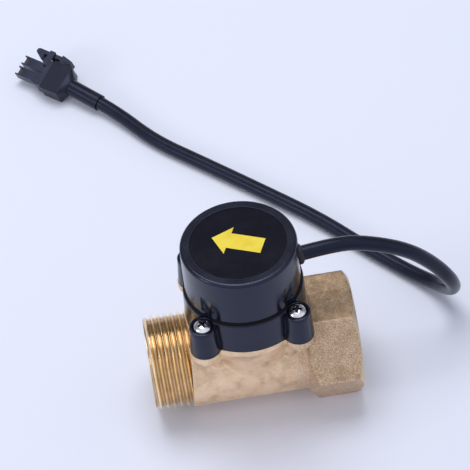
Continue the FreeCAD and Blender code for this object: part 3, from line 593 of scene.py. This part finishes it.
# Near-black and dull, for the ring that stands in for the shadow in the seam: painted shade.
SEAM_SHADE_BLACK = finish(
    "painted seam shade",
    tone(8, 8, 13),
    tone(5, 5, 8),
    tone(16, 16, 24),
    0.7,
    patch=3,
    grain=0.2,
    relief=0.006,
    specular=0.15,
)
LEAD_JACKET = finish(
    "lead jacket",
    tone(15, 17, 32),
    tone(10, 12, 23),
    tone(25, 28, 46),
    0.3,
    patch=6,
    strength=0.3,
    grain=0.35,
    relief=0.008,
    edge=0.1,
    dust_and_top_shade=0.015,
    specular=0.33,
    tint=tone(200, 210, 252),
)
CONNECTOR_BLACK = finish(
    "moulded connector",
    tone(38, 40, 56),
    tone(26, 27, 40),
    tone(58, 60, 80),
    0.36,
    patch=4,
    strength=0.5,
    grain=0.25,
    relief=0.008,
    edge=0.28,
    # lighter bluish edges: painted sheen
    edge_wear_and_sheen=tone(124, 128, 150),
    edge_wear_and_sheen_share=0.6,
    specular=0.5,
    tint=tone(205, 212, 250),
)
BOOT_BLACK = finish(
    "moulded boot",
    tone(18, 19, 28),
    tone(11, 12, 18),
    tone(32, 34, 46),
    0.42,
    patch=3,
    strength=0.5,
    grain=0.25,
    relief=0.01,
    edge=0.5,
    # lighter bluish edges: painted sheen
    edge_wear_and_sheen=tone(64, 66, 82),
    edge_wear_and_sheen_share=0.3,
    specular=0.4,
    tint=tone(205, 212, 250),
)
FLAP_PLASTIC = finish(
    "flap plastic",
    tone(226, 224, 214),
    tone(196, 192, 180),
    tone(240, 240, 234),
    0.42,
    patch=5,
    strength=0.25,
    grain=0.3,
    relief=0.01,
)
MAGNET_GREY = finish(
    "sintered magnet",
    tone(70, 70, 74),
    tone(44, 44, 48),
    tone(100, 100, 104),
    0.5,
    metal=0.5,
    patch=1,
    grain=0.12,
    relief=0.02,
)
SPRING_STEEL = finish(
    "spring steel",
    tone(170, 170, 172),
    tone(120, 118, 118),
    tone(214, 214, 216),
    0.25,
    metal=1.0,
    patch=1,
    grain=0.1,
    relief=0.004,
    edge=0.05,
)
# The contacts sit deep in the connector's mouths; their metal is darkened to stand in for the
# shade there: painted shade.
CONTACT_SHADE = finish(
    "contact metal in painted shade",
    tone(74, 71, 66),
    tone(50, 47, 42),
    tone(104, 101, 96),
    0.5,
    metal=1.0,
    patch=1,
    grain=0.15,
    relief=0.006,
    edge=0.1,
)
BOARD_GREEN = finish(
    "circuit board",
    tone(36, 92, 58),
    tone(22, 66, 40),
    tone(60, 120, 80),
    0.35,
    patch=2,
    strength=0.5,
    grain=0.3,
    relief=0.012,
    edge=0.1,
)
PART_BLACK = finish(
    "moulded component",
    tone(32, 32, 34),
    tone(20, 20, 22),
    tone(50, 50, 54),
    0.5,
    patch=2,
    grain=0.15,
    relief=0.015,
    edge=0.15,
)
PART_RED = finish(
    "dipped capacitor",
    tone(168, 44, 30),
    tone(128, 28, 20),
    tone(196, 72, 50),
    0.28,
    patch=2,
    grain=0.4,
    relief=0.02,
    edge=0.3,
)
PART_BEIGE = finish(
    "resistor body",
    tone(206, 180, 138),
    tone(180, 150, 106),
    tone(222, 202, 166),
    0.36,
    patch=1,
    grain=0.3,
    relief=0.01,
    edge=0.2,
)
CORE_BROWN = finish(
    "core insulation",
    tone(112, 62, 36),
    tone(86, 44, 24),
    tone(136, 82, 54),
    0.42,
    patch=3,
    grain=0.2,
    relief=0.006,
    edge=0.1,
)


def make_reed_glass():
    """Clear greenish glass with a faint unevenness."""
    made, tree, shader = blank_material("reed glass")
    grains = placed(tree, GRAIN, {"Size": 0.8, "Dips": 0.0})
    shader.inputs["Base Color"].default_value = tone(206, 226, 208)
    shader.inputs["Roughness"].default_value = 0.06
    shader.inputs["Transmission Weight"].default_value = 0.85
    shader.inputs["IOR"].default_value = 1.5
    surface = {"Strength": 1.0, "Distance": 0.01 * MM, "Height": grains["Height"]}
    bump = put(tree, "ShaderNodeBump", surface)
    feed(tree, shader.inputs["Normal"], bump.outputs["Normal"])
    return made


REED_GLASS = make_reed_glass()

NODE_FINISHES = {
    "brass_body": CAST_BRASS,
    "base_housing": HOUSING_BLACK,
    "cap_housing": HOUSING_BLACK,
    "label_disc": LABEL_BLACK,
    "base_screws": NICKEL,
    "base_o_ring": RUBBER,
    "cord_grommet": RUBBER,
    "cord": LEAD_JACKET,
    "cord_sleeve": LEAD_JACKET,
    "connector_boot": BOOT_BLACK,
    "connector_housing": CONNECTOR_BLACK,
    "connector_latch": CONNECTOR_BLACK,
    "contact_sockets": CONTACT_SHADE,
    "flap": FLAP_PLASTIC,
    "flap_magnet": MAGNET_GREY,
    "flap_pin": SPRING_STEEL,
    "flap_spring": SPRING_STEEL,
    "reed_switch": REED_GLASS,
    "circuit_board": BOARD_GREEN,
    "triac": PART_BLACK,
    "snubber_capacitor": PART_RED,
    "gate_resistor": PART_BEIGE,
    "lead_wires": CORE_BROWN,
}


def dress_nodes():
    """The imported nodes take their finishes."""
    for name, material in NODE_FINISHES.items():
        node = NODES[name]
        if not node.material_slots:
            node.data.materials.append(material)
        for held in node.material_slots:
            held.material = material


# ---------------------------------------------------------------- making meshes


def built(name, shape, *finishes):
    """A mesh from what was built, with its finishes."""
    mesh = bpy.data.meshes.new(name)
    shape.to_mesh(mesh)
    shape.free()
    for one in finishes:
        mesh.materials.append(one)
    return mesh


def piece(mesh, replaced=(), sharp=40):
    """A finished mesh as an object of its own name, riding on the switch."""
    mesh.shade_smooth()
    mesh.set_sharp_from_angle(angle=math.radians(sharp))
    made = put_out(mesh.name, mesh)
    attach(made, "switch")
    if replaced:
        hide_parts(*replaced)


def closed_up(shape):
    """Joins what lies together, and turns the faces outward."""
    bmesh.ops.remove_doubles(shape, verts=shape.verts, dist=WELD)
    bmesh.ops.recalc_face_normals(shape, faces=shape.faces)


def turned(shape, outline, centre, axis, steps, closed=False):
    """A form turned about an axis from its half outline, which is closed for a ring."""
    points = [shape.verts.new(spot) for spot in outline]
    ahead = points[1:] + points[:1] if closed else points[1:]
    edges = [shape.edges.new(pair) for pair in zip(points, ahead)]
    bmesh.ops.spin(
        shape,
        geom=points + edges,
        cent=centre,
        axis=axis,
        angle=math.tau,
        steps=steps,
        use_merge=True,
    )
    closed_up(shape)


def about_pipe(shape, corners):
    """A form turned about the pipe's axis from pairs of length and radius."""
    ends = [(corners[0][0], 0.0), *corners, (corners[-1][0], 0.0)]
    outline = [(along, 0.0, AXIS_HEIGHT + radius) for along, radius in ends]
    turned(shape, outline, PIPE_CENTRE, (1, 0, 0), ROUND_STEPS)


def upright(shape, corners, place=(0.0, 0.0), steps=ROUND_STEPS):
    """A form turned about a vertical line from pairs of radius and height."""
    ends = [(0.0, corners[0][1]), *corners, (0.0, corners[-1][1])]
    outline = [(place[0] + radius, place[1], height) for radius, height in ends]
    turned(shape, outline, (*place, 0), (0, 0, 1), steps)


def lathe_ring(shape, corners, place=(0.0, 0.0), steps=FINE_STEPS):
    """A ring turned about a vertical line from pairs of radius and height."""
    outline = [(place[0] + radius, place[1], height) for radius, height in corners]
    turned(shape, outline, (*place, 0), (0, 0, 1), steps, closed=True)


def loose(name, shape, *finishes):
    """A helper object for a modifier to read, taken away when the piece is finished."""
    return put_out(name, built(name, shape, *finishes))


def cutting(target, name, operation, helper):
    """A step that cuts the target with a helper."""
    cutter = target.modifiers.new(name, "BOOLEAN")
    cutter.operation = operation
    cutter.solver = "MANIFOLD"
    cutter.object = helper
    return cutter


def settled(helper, name, others=()):
    """The helper's mesh with its modifiers applied; it and the other helpers go."""
    graph = bpy.context.evaluated_depsgraph_get()
    mesh = bpy.data.meshes.new_from_object(helper.evaluated_get(graph), depsgraph=graph)
    mesh.name = name
    for used in (helper, *others):
        bpy.data.objects.remove(used)
    return mesh


def machined(target, name, steps):
    """The target's mesh after a row of cuts; each cut's own faces bring their finish."""
    helpers = []
    for step, operation, shape, left in steps:
        helper = loose(step, shape, left)
        helpers.append(helper)
        cutting(target, step, operation, helper).material_mode = "TRANSFER"
    return settled(target, name, helpers)


# ---------------------------------------------------------------- threads

THREAD_LEAD_IN = THREAD_ROOT + 0.15 * MM
THREAD_LEAD_SLOPE = 0.9


def helix(shape, start, stop):
    """A pipe thread of one start, cut off square at both ends.

    It runs from one pitch before start to past stop before it's cut.
    """
    turns = math.ceil((stop - start) / THREAD_PITCH) + 2
    points = [
        shape.verts.new(
            (
                start + THREAD_PITCH * (share - 1),
                0,
                AXIS_HEIGHT + THREAD_ROOT + (THREAD_CREST - THREAD_ROOT) * rise,
            )
        )
        for share, rise in zip(THREAD_FORM, THREAD_RISE)
    ]
    edges = [shape.edges.new(pair) for pair in zip(points, points[1:])]
    bmesh.ops.spin(
        shape,
        geom=points + edges,
        cent=PIPE_CENTRE,
        axis=(1, 0, 0),
        dvec=(THREAD_PITCH / THREAD_STEPS, 0, 0),
        angle=math.tau * turns,
        steps=THREAD_STEPS * turns,
    )
    bmesh.ops.remove_doubles(shape, verts=shape.verts, dist=WELD)
    for place, side in ((start, -1), (stop, 1)):
        bmesh.ops.bisect_plane(
            shape,
            geom=shape.verts[:] + shape.edges[:] + shape.faces[:],
            plane_co=(place, 0, 0),
            plane_no=(side, 0, 0),
            clear_outer=True,
        )


def ring_at(shape, place, radius):
    """The edges of a new circle about the pipe's axis."""
    turn = Matrix.Translation((place, 0, AXIS_HEIGHT)) @ Matrix.Rotation(math.pi / 2, 4, "Y")
    made = bmesh.ops.create_circle(shape, radius=radius, segments=ROUND_STEPS, matrix=turn)
    return list({edge for vert in made["verts"] for edge in vert.link_edges})


def open_edges_at(shape, place):
    """The open edges that lie at a place along the pipe."""
    return [
        edge
        for edge in shape.edges
        if edge.is_boundary and all(abs(vert.co.x - place) < NEAR for vert in edge.verts)
    ]


def make_outlet_thread():
    """The outlet's pipe thread, on a plain sleeve that carries the bore."""
    shape = bmesh.new()
    helix(shape, THREAD_END, THREAD_STOP)
    for vert in shape.verts:
        out = vert.co - PIPE_CENTRE
        radius = math.hypot(out.y, out.z)
        limit = THREAD_LEAD_IN + THREAD_LEAD_SLOPE * (vert.co.x - THREAD_END)
        if radius > limit:
            vert.co.y *= limit / radius
            vert.co.z = AXIS_HEIGHT + out.z * limit / radius
    rims = []
    for place in (THREAD_END, THREAD_STOP):
        rim = open_edges_at(shape, place)
        inner = ring_at(shape, place, BORE)
        rims.append(inner)
        bmesh.ops.triangle_fill(shape, edges=rim + inner, use_beauty=True, normal=(1, 0, 0))
    bmesh.ops.bridge_loops(shape, edges=rims[0] + rims[1])
    bmesh.ops.recalc_face_normals(shape, faces=shape.faces)
    piece(built("outlet_thread", shape, CUT_BRASS), sharp=30)


# ---------------------------------------------------------------- brass casting

# The casting is first put together as rough forms that run into each other. They are
# melted into one skin with soft corners, and what a machine shop cuts is cut after that.

MELT = 0.4 * MM
SPARE = 0.6 * MM
NECK = [(16.6, 0), (16.8, 4.5), (17.5, 9.5), (18.7, 14)]  # radius and rise, in millimetres
PAD_LOBE = 5.4 * MM
BOSS_SPREAD = 11.5 * MM
BOSS_RISE = 6 * MM
BOSS_LEAN = 0.75
BOSS_RADII = (2.4 * MM, 3.0 * MM)
STUB_RADII = (2.6 * MM, 3.2 * MM)
HOLE_FOOT = 35.6 * MM
HOLE_RADIUS = 1.9 * MM
CHAMBER = 14 * MM
SKEW = 2.4 * MM
FRONT_TOP = Vector((0, 0.725, 0.688))
CHAMFER_SLOPE = 0.577


def hexagon_form():
    """The rough hexagon: six flats, run down to the shank by a sloping shoulder."""
    shape = bmesh.new()
    lying = Matrix.Rotation(math.pi / 2, 4, "Y")
    bmesh.ops.create_cone(
        shape,
        cap_ends=True,
        segments=6,
        radius1=HEX_CORNER,
        radius2=HEX_CORNER,
        depth=INLET_END - HEX_START + 6 * MM,
        matrix=Matrix.Translation(((INLET_END + HEX_START) / 2, 0, AXIS_HEIGHT)) @ lying,
    )
    prism = loose("hexagon_prism", shape)
    shape = bmesh.new()
    slope = (HEX_CORNER - SHANK) / (HEX_SHOULDER_END - HEX_START)
    before, past = 1.5 * MM, 2 * MM
    wide = HEX_CORNER + past * slope
    outline = [
        (HEX_START - before, SHANK - before * slope),
        (HEX_SHOULDER_END + past, wide),
        (INLET_END + SPARE, wide),
    ]
    about_pipe(shape, outline)
    limit = loose("hexagon_limit", shape)
    cutting(prism, "limit", "INTERSECT", limit)
    return settled(prism, "hexagon", [limit])


def lean_boss(shape, side, front, spot):
    """A boss that leans outward from the barrel to a lobe of the pad."""
    foot = (side * BOSS_SPREAD, front * BOSS_SPREAD)
    low, high = AXIS_HEIGHT + BOSS_RISE, PAD_FOOT + 1 * MM
    narrow, wide = BOSS_RADII
    boss = bmesh.ops.create_cone(
        shape, cap_ends=True, segments=40, radius1=narrow, radius2=wide, depth=high - low
    )["verts"]
    bmesh.ops.translate(shape, verts=boss, vec=(*foot, (low + high) / 2))
    for vert in boss:
        if vert.co.z > PAD_FOOT:
            vert.co.x += (spot[0] - foot[0]) * BOSS_LEAN
            vert.co.y += (spot[1] - foot[1]) * BOSS_LEAN


def rough_casting():
    """The barrel, the hexagon, the neck with its lobed pad, and the bosses."""
    shape = bmesh.new()
    shape.from_mesh(hexagon_form())
    about_pipe(shape, [(THREAD_STOP - SKEW - 1 * MM, SHANK), (HEX_SHOULDER_END + 4 * MM, SHANK)])
    top = PARTING + SPARE
    neck = [(radius * MM, AXIS_HEIGHT + rise * MM) for radius, rise in NECK]
    upright(shape, [*neck, (PAD - SPARE, PAD_FOOT), (PAD, PAD_FOOT + 0.1 * MM), (PAD, top)])
    narrow, wide = STUB_RADII
    for (side, front), spot in zip(CORNERS, SCREW_SPOTS):
        upright(shape, [(PAD_LOBE, PAD_FOOT), (PAD_LOBE, top)], spot, SMALL_STEPS)
        stub = [(narrow, HOLE_FOOT - 1.6 * MM), (wide, PAD_FOOT + 1 * MM)]
        upright(shape, stub, spot, SMALL_STEPS)
        lean_boss(shape, side, front, spot)
    return loose("rough_casting", shape)


def melted(cast):
    """One skin over the rough forms, with soft corners."""
    melt = cast.modifiers.new("melt", "REMESH")
    melt.mode = "VOXEL"
    melt.voxel_size = MELT
    soften = cast.modifiers.new("soften", "SMOOTH")
    soften.factor = 0.5
    soften.iterations = 3
    skin = put_out("casting_skin", settled(cast, "casting_skin"))
    skin.data.materials.clear()
    skin.data.materials.append(CAST_BRASS)
    return skin


def turned_limit():
    """What the lathe leaves at the inlet: the chamfered face of the hexagon."""
    shape = bmesh.new()
    face = HEX_CORNER * math.sqrt(3) / 2 - 0.4 * MM
    reach = HEX_CORNER + 10 * MM
    mouth = INLET_END - (reach - face) * CHAMFER_SLOPE
    about_pipe(shape, [(-30 * MM, reach), (mouth, reach), (INLET_END, face)])
    return shape


def barrel_end_cut():
    """The lathe cut at the thread's end, which runs a little askew to the cast skin."""
    shape = bmesh.new()
    clear = SHANK + SPARE
    about_pipe(shape, [(THREAD_STOP - 8 * MM, clear), (THREAD_STOP, clear)])
    for vert in shape.verts:
        if vert.co.x > THREAD_STOP - 1 * MM:
            high = (vert.co - PIPE_CENTRE).dot(FRONT_TOP) / SHANK
            vert.co.x -= SKEW * (0.5 - 0.5 * high)
    return shape


def passage_drill():
    """The bore, widened to the tapping size in the inlet."""
    shape = bmesh.new()
    socket = INLET_END - SOCKET_DEPTH
    step = THREAD_ROOT - BORE
    outline = [
        (THREAD_STOP - 9 * MM, BORE),
        (socket - step, BORE),
        (socket + 0.05 * MM, THREAD_ROOT),
    ]
    about_pipe(shape, outline)
    return shape


def mouth_countersink():
    """The countersink at the inlet's mouth."""
    shape = bmesh.new()
    inside = (INLET_END - 2 * MM, THREAD_ROOT - 0.3 * MM)
    outside = (INLET_END + 0.5 * MM, THREAD_CREST + 0.7 * MM)
    about_pipe(shape, [inside, outside])
    return shape


def inlet_screw():
    """What the tap leaves in the inlet: a closed screw."""
    shape = bmesh.new()
    start, stop = INLET_END - SOCKET_DEPTH, INLET_END + THREAD_PITCH
    helix(shape, start, stop)
    for place in (start, stop):
        bmesh.ops.triangle_fill(shape, edges=open_edges_at(shape, place), use_beauty=True)
    bmesh.ops.recalc_face_normals(shape, faces=shape.faces)
    return shape


def chamber_drill():
    """The chamber under the housing and the four tapped holes."""
    shape = bmesh.new()
    top = PARTING + 2 * MM
    upright(shape, [(CHAMBER, AXIS_HEIGHT), (CHAMBER, top)])
    for spot in SCREW_SPOTS:
        upright(shape, [(HOLE_RADIUS, HOLE_FOOT), (HOLE_RADIUS, top)], spot, 32)
    return shape


def seat_cut():
    """All that lies above the seat of the housing."""
    shape = bmesh.new()
    size = 80 * MM
    middle = Matrix.Translation((0, 0, PARTING + size / 2))
    bmesh.ops.create_cube(shape, size=size, matrix=middle)
    return shape


def make_casting():
    """The cast body, melted together and then machined."""
    steps = [
        ("turned_limit", "INTERSECT", turned_limit(), TURNED_BRASS),
        ("barrel_end_cut", "DIFFERENCE", barrel_end_cut(), CUT_BRASS),
        ("seat_cut", "DIFFERENCE", seat_cut(), TURNED_BRASS),
        ("passage_drill", "DIFFERENCE", passage_drill(), CUT_BRASS),
        ("mouth_countersink", "DIFFERENCE", mouth_countersink(), TURNED_BRASS),
        ("inlet_screw", "DIFFERENCE", inlet_screw(), CUT_BRASS),
        ("chamber_drill", "DIFFERENCE", chamber_drill(), CUT_BRASS),
    ]
    mesh = machined(melted(rough_casting()), "brass_casting", steps)
    piece(mesh, replaced=["brass_body"], sharp=32)


# ---------------------------------------------------------------- trim of the housing

RIM_RISE = 1.15 * MM
BAR_SIZE = (4.9 * MM, 1.15 * MM, 2.4 * MM)
SCREW_LENGTH = 15 * MM
SCREW_RADIUS = 1.7 * MM
SCREW_TURNS = (15, 70, 28, -12)
PAN_HEAD = [  # what the head loses in radius, and its height, in millimetres
    (0, 0),
    (-0.05, 0.5),
    (0.15, 1.1),
    (0.6, 1.65),
    (1.4, 2.1),
]
SEAM_SHADE_SHAPE = [  # radius, and rise above the seam, in millimetres
    (19.0, 0.02),
    (19.9, -0.12),
    (20.3, -0.3),
    (20.34, -0.1),
    (20.1, 0.3),
    (19.76, 0.75),
    (19.0, 0.75),
]


def make_lobe_rims():
    """The raised rims that the screw heads sink into."""
    shape = bmesh.new()
    top = LOBE_TOP + RIM_RISE
    outline = [
        (HEAD_RADIUS + 0.25 * MM, LOBE_TOP - 0.2 * MM),
        (LOBE_RADIUS + 0.05 * MM, LOBE_TOP - 0.9 * MM),
        (LOBE_RADIUS, top - 0.35 * MM),
        (LOBE_RADIUS - 0.12 * MM, top - 0.1 * MM),
        (LOBE_RADIUS - 0.4 * MM, top),
        (HEAD_RADIUS + 0.5 * MM, top),
        (HEAD_RADIUS + 0.3 * MM, top - 0.15 * MM),
    ]
    for spot in SCREW_SPOTS:
        lathe_ring(shape, outline, spot, SMALL_STEPS)
    piece(built("screw_rims", shape, HOUSING_BLACK))


def recess_bar(turn):
    """One bar of the driver's cross, narrower at the bottom."""
    shape = bmesh.new()
    bar = bmesh.ops.create_cube(shape, size=1.0)["verts"]
    bmesh.ops.scale(shape, verts=bar, vec=BAR_SIZE)
    for vert in bar:
        if vert.co.z < 0:
            vert.co.x *= 0.5
            vert.co.y *= 0.7
    about = Matrix.Rotation(turn, 3, "Z")
    bmesh.ops.rotate(shape, verts=bar, cent=(0, 0, 0), matrix=about)
    bmesh.ops.translate(shape, verts=bar, vec=(0, 0, HEAD_HEIGHT))
    return shape


def make_screws():
    """Four pan-head screws with a cross recess, each turned as it was left."""
    blank = bmesh.new()
    dome = [(HEAD_RADIUS - less * MM, height * MM) for less, height in PAN_HEAD]
    stem = [(SCREW_RADIUS, -SCREW_LENGTH), (SCREW_RADIUS, 0.0)]
    upright(blank, [*stem, *dome, (0.8 * MM, HEAD_HEIGHT)], steps=64)
    cuts = [
        ("first_bar", "DIFFERENCE", recess_bar(0), RECESS_SHADE),
        ("second_bar", "DIFFERENCE", recess_bar(math.pi / 2), RECESS_SHADE),
    ]
    one_screw = machined(loose("screw_blank", blank, NICKEL), "one_screw", cuts)
    shape = bmesh.new()
    for spot, turn in zip(SCREW_SPOTS, SCREW_TURNS):
        one = one_screw.copy()
        seat = Matrix.Translation((*spot, LOBE_TOP))
        one.transform(seat @ Matrix.Rotation(math.radians(turn), 4, "Z"))
        shape.from_mesh(one)
    mesh = built("pan_head_screws", shape, NICKEL, RECESS_SHADE)
    piece(mesh, replaced=["base_screws"], sharp=35)


def make_painted_seam_shade():
    """A near-black ring in the seam that stands in for the seam's shadow, which is painted shade;
    it is cut away where the screw heads stand.
    """
    ring = bmesh.new()
    lathe_ring(ring, [(radius * MM, SEAM + rise * MM) for radius, rise in SEAM_SHADE_SHAPE])
    shade_ring = loose("painted_seam_shade_ring", ring)
    rooms = bmesh.new()
    room = [(DRIVER_ROOM, SEAM - 2 * MM), (DRIVER_ROOM, SEAM + 3 * MM)]
    for spot in SCREW_SPOTS:
        upright(rooms, room, spot, SMALL_STEPS)
    tool = loose("painted_seam_shade_rooms", rooms)
    cutting(shade_ring, "rooms", "DIFFERENCE", tool)
    shape = bmesh.new()
    shape.from_mesh(settled(shade_ring, "cut_painted_seam_shade", [tool]))
    piece(built("painted_seam_shade", shape, SEAM_SHADE_BLACK))


def make_label_bead():
    """The fine raised edge round the label's recess."""
    shape = bmesh.new()
    angles = [math.radians(step) for step in range(0, 360, 45)]
    outline = [
        (BEAD_RADIUS + BEAD_THICK * math.cos(angle), LABEL_TOP + BEAD_THICK * math.sin(angle))
        for angle in angles
    ]
    lathe_ring(shape, outline)
    piece(built("label_bead", shape, HOUSING_BLACK), sharp=80)


ARROW_MIDDLE = Vector((-0.2 * MM, 0.65 * MM, LABEL_TOP))
ARROW_TURN = math.radians(156.3)
ARROW_LENGTH = 17.75 * MM
ARROW_HEAD = 5.9 * MM
ARROW_WIDE = 12.2 * MM
ARROW_SHAFT = 6.65 * MM
INK = 0.03 * MM


def make_arrow():
    """The printed flow arrow, which points to the outlet."""
    shape = bmesh.new()
    tip = ARROW_LENGTH / 2
    neck = tip - ARROW_HEAD
    half = [(neck, ARROW_WIDE / 2), (neck, ARROW_SHAFT / 2), (-tip, ARROW_SHAFT / 2)]
    outline = [(tip, 0)] + half + [(along, -across) for along, across in reversed(half)]
    face = shape.faces.new([shape.verts.new((along, across, 0)) for along, across in outline])
    raised = bmesh.ops.extrude_face_region(shape, geom=[face])
    top = [part for part in raised["geom"] if isinstance(part, bmesh.types.BMVert)]
    bmesh.ops.translate(shape, verts=top, vec=(0, 0, INK))
    bmesh.ops.triangulate(shape, faces=shape.faces[:])
    bmesh.ops.recalc_face_normals(shape, faces=shape.faces)
    turn = Matrix.Translation(ARROW_MIDDLE) @ Matrix.Rotation(ARROW_TURN, 4, "Z")
    bmesh.ops.transform(shape, matrix=turn, verts=shape.verts)
    piece(built("flow_arrow", shape, ARROW_YELLOW))


# ---------------------------------------------------------------- floor and light

FLOOR_TONE = tone(236, 240, 255)
FLOOR_SEEN_GLOW = 0.03
FLOOR_MIRRORED_GLOW = 0.14
ROOM_TONE = tone(236, 240, 252)
ROOM_FRONT = 1.05
ROOM_BACK = 0.34
ROOM_LOW = 0.85
ROOM_LIGHT = 0.5
ROOM_SEEN = 0.9
LAMP_AIM = Vector((0, 0, 0.03))


def make_stage():
    """The pale table, a little brighter to the camera and in mirrors than its light makes it."""
    shape = bmesh.new()
    bmesh.ops.create_grid(shape, x_segments=1, y_segments=1, size=4.0)
    table, tree, shader = blank_material("pale table")
    path = put(tree, "ShaderNodeLightPath").outputs
    seen = sums(tree, "MULTIPLY", path["Is Camera Ray"], FLOOR_SEEN_GLOW)
    glow = sums(tree, "MULTIPLY_ADD", path["Is Glossy Ray"], FLOOR_MIRRORED_GLOW, seen)
    shader.inputs["Base Color"].default_value = FLOOR_TONE
    shader.inputs["Roughness"].default_value = 0.7
    shader.inputs["Specular IOR Level"].default_value = 0.1
    shader.inputs["Emission Color"].default_value = FLOOR_TONE
    feed(tree, shader.inputs["Emission Strength"], glow)
    put_out("floor", built("floor", shape, table))


def make_world():
    """A pale room whose reflections are white low down and dimmer above, most of all behind."""
    world = bpy.data.worlds.new("pale room")
    bpy.context.scene.world = world
    world.use_nodes = True
    tree = world.node_tree
    back = tree.nodes["Background"]
    path = put(tree, "ShaderNodeLightPath").outputs
    mirrored = sums(tree, "MAXIMUM", path["Is Glossy Ray"], path["Is Transmission Ray"])
    direction = put(tree, "ShaderNodeTexCoord").outputs["Generated"]
    parts = put(tree, "ShaderNodeSeparateXYZ", {0: direction}).outputs
    behind = spread(tree, parts["Y"], -0.2, 0.3, ROOM_FRONT, ROOM_BACK)
    low = spread(tree, parts["Z"], 0.0, 0.16, 1.0, 0.0)
    light = mixed(tree, mirrored, ROOM_LIGHT, mixed(tree, low, behind, ROOM_LOW))
    back.inputs["Color"].default_value = ROOM_TONE
    feed(tree, back.inputs["Strength"], mixed(tree, path["Is Camera Ray"], light, ROOM_SEEN))


def add_lamp(name, place, size, power):
    """A round softbox that points at the object; place and size in metres, power in watts."""
    lamp = bpy.data.lights.new(name, "AREA")
    lamp.shape = "DISK"
    lamp.size = size
    lamp.energy = power
    made = put_out(name, lamp)
    made.location = place
    made.rotation_mode = "QUATERNION"
    made.rotation_quaternion = (LAMP_AIM - Vector(place)).to_track_quat("-Z", "Y")


bpy.context.scene.view_settings.view_transform = "Standard"
set_camera()
dress_nodes()
lay_lead(LEAD_JACKET)
make_casting()
make_outlet_thread()
make_lobe_rims()
make_screws()
make_painted_seam_shade()
make_label_bead()
make_arrow()
make_stage()
make_world()
add_lamp("overhead_softbox", (-0.06, 0.27, 1.06), 0.8, 5.8)
add_lamp("side_softbox", (-0.9, -0.3, 0.5), 0.35, 1.5)
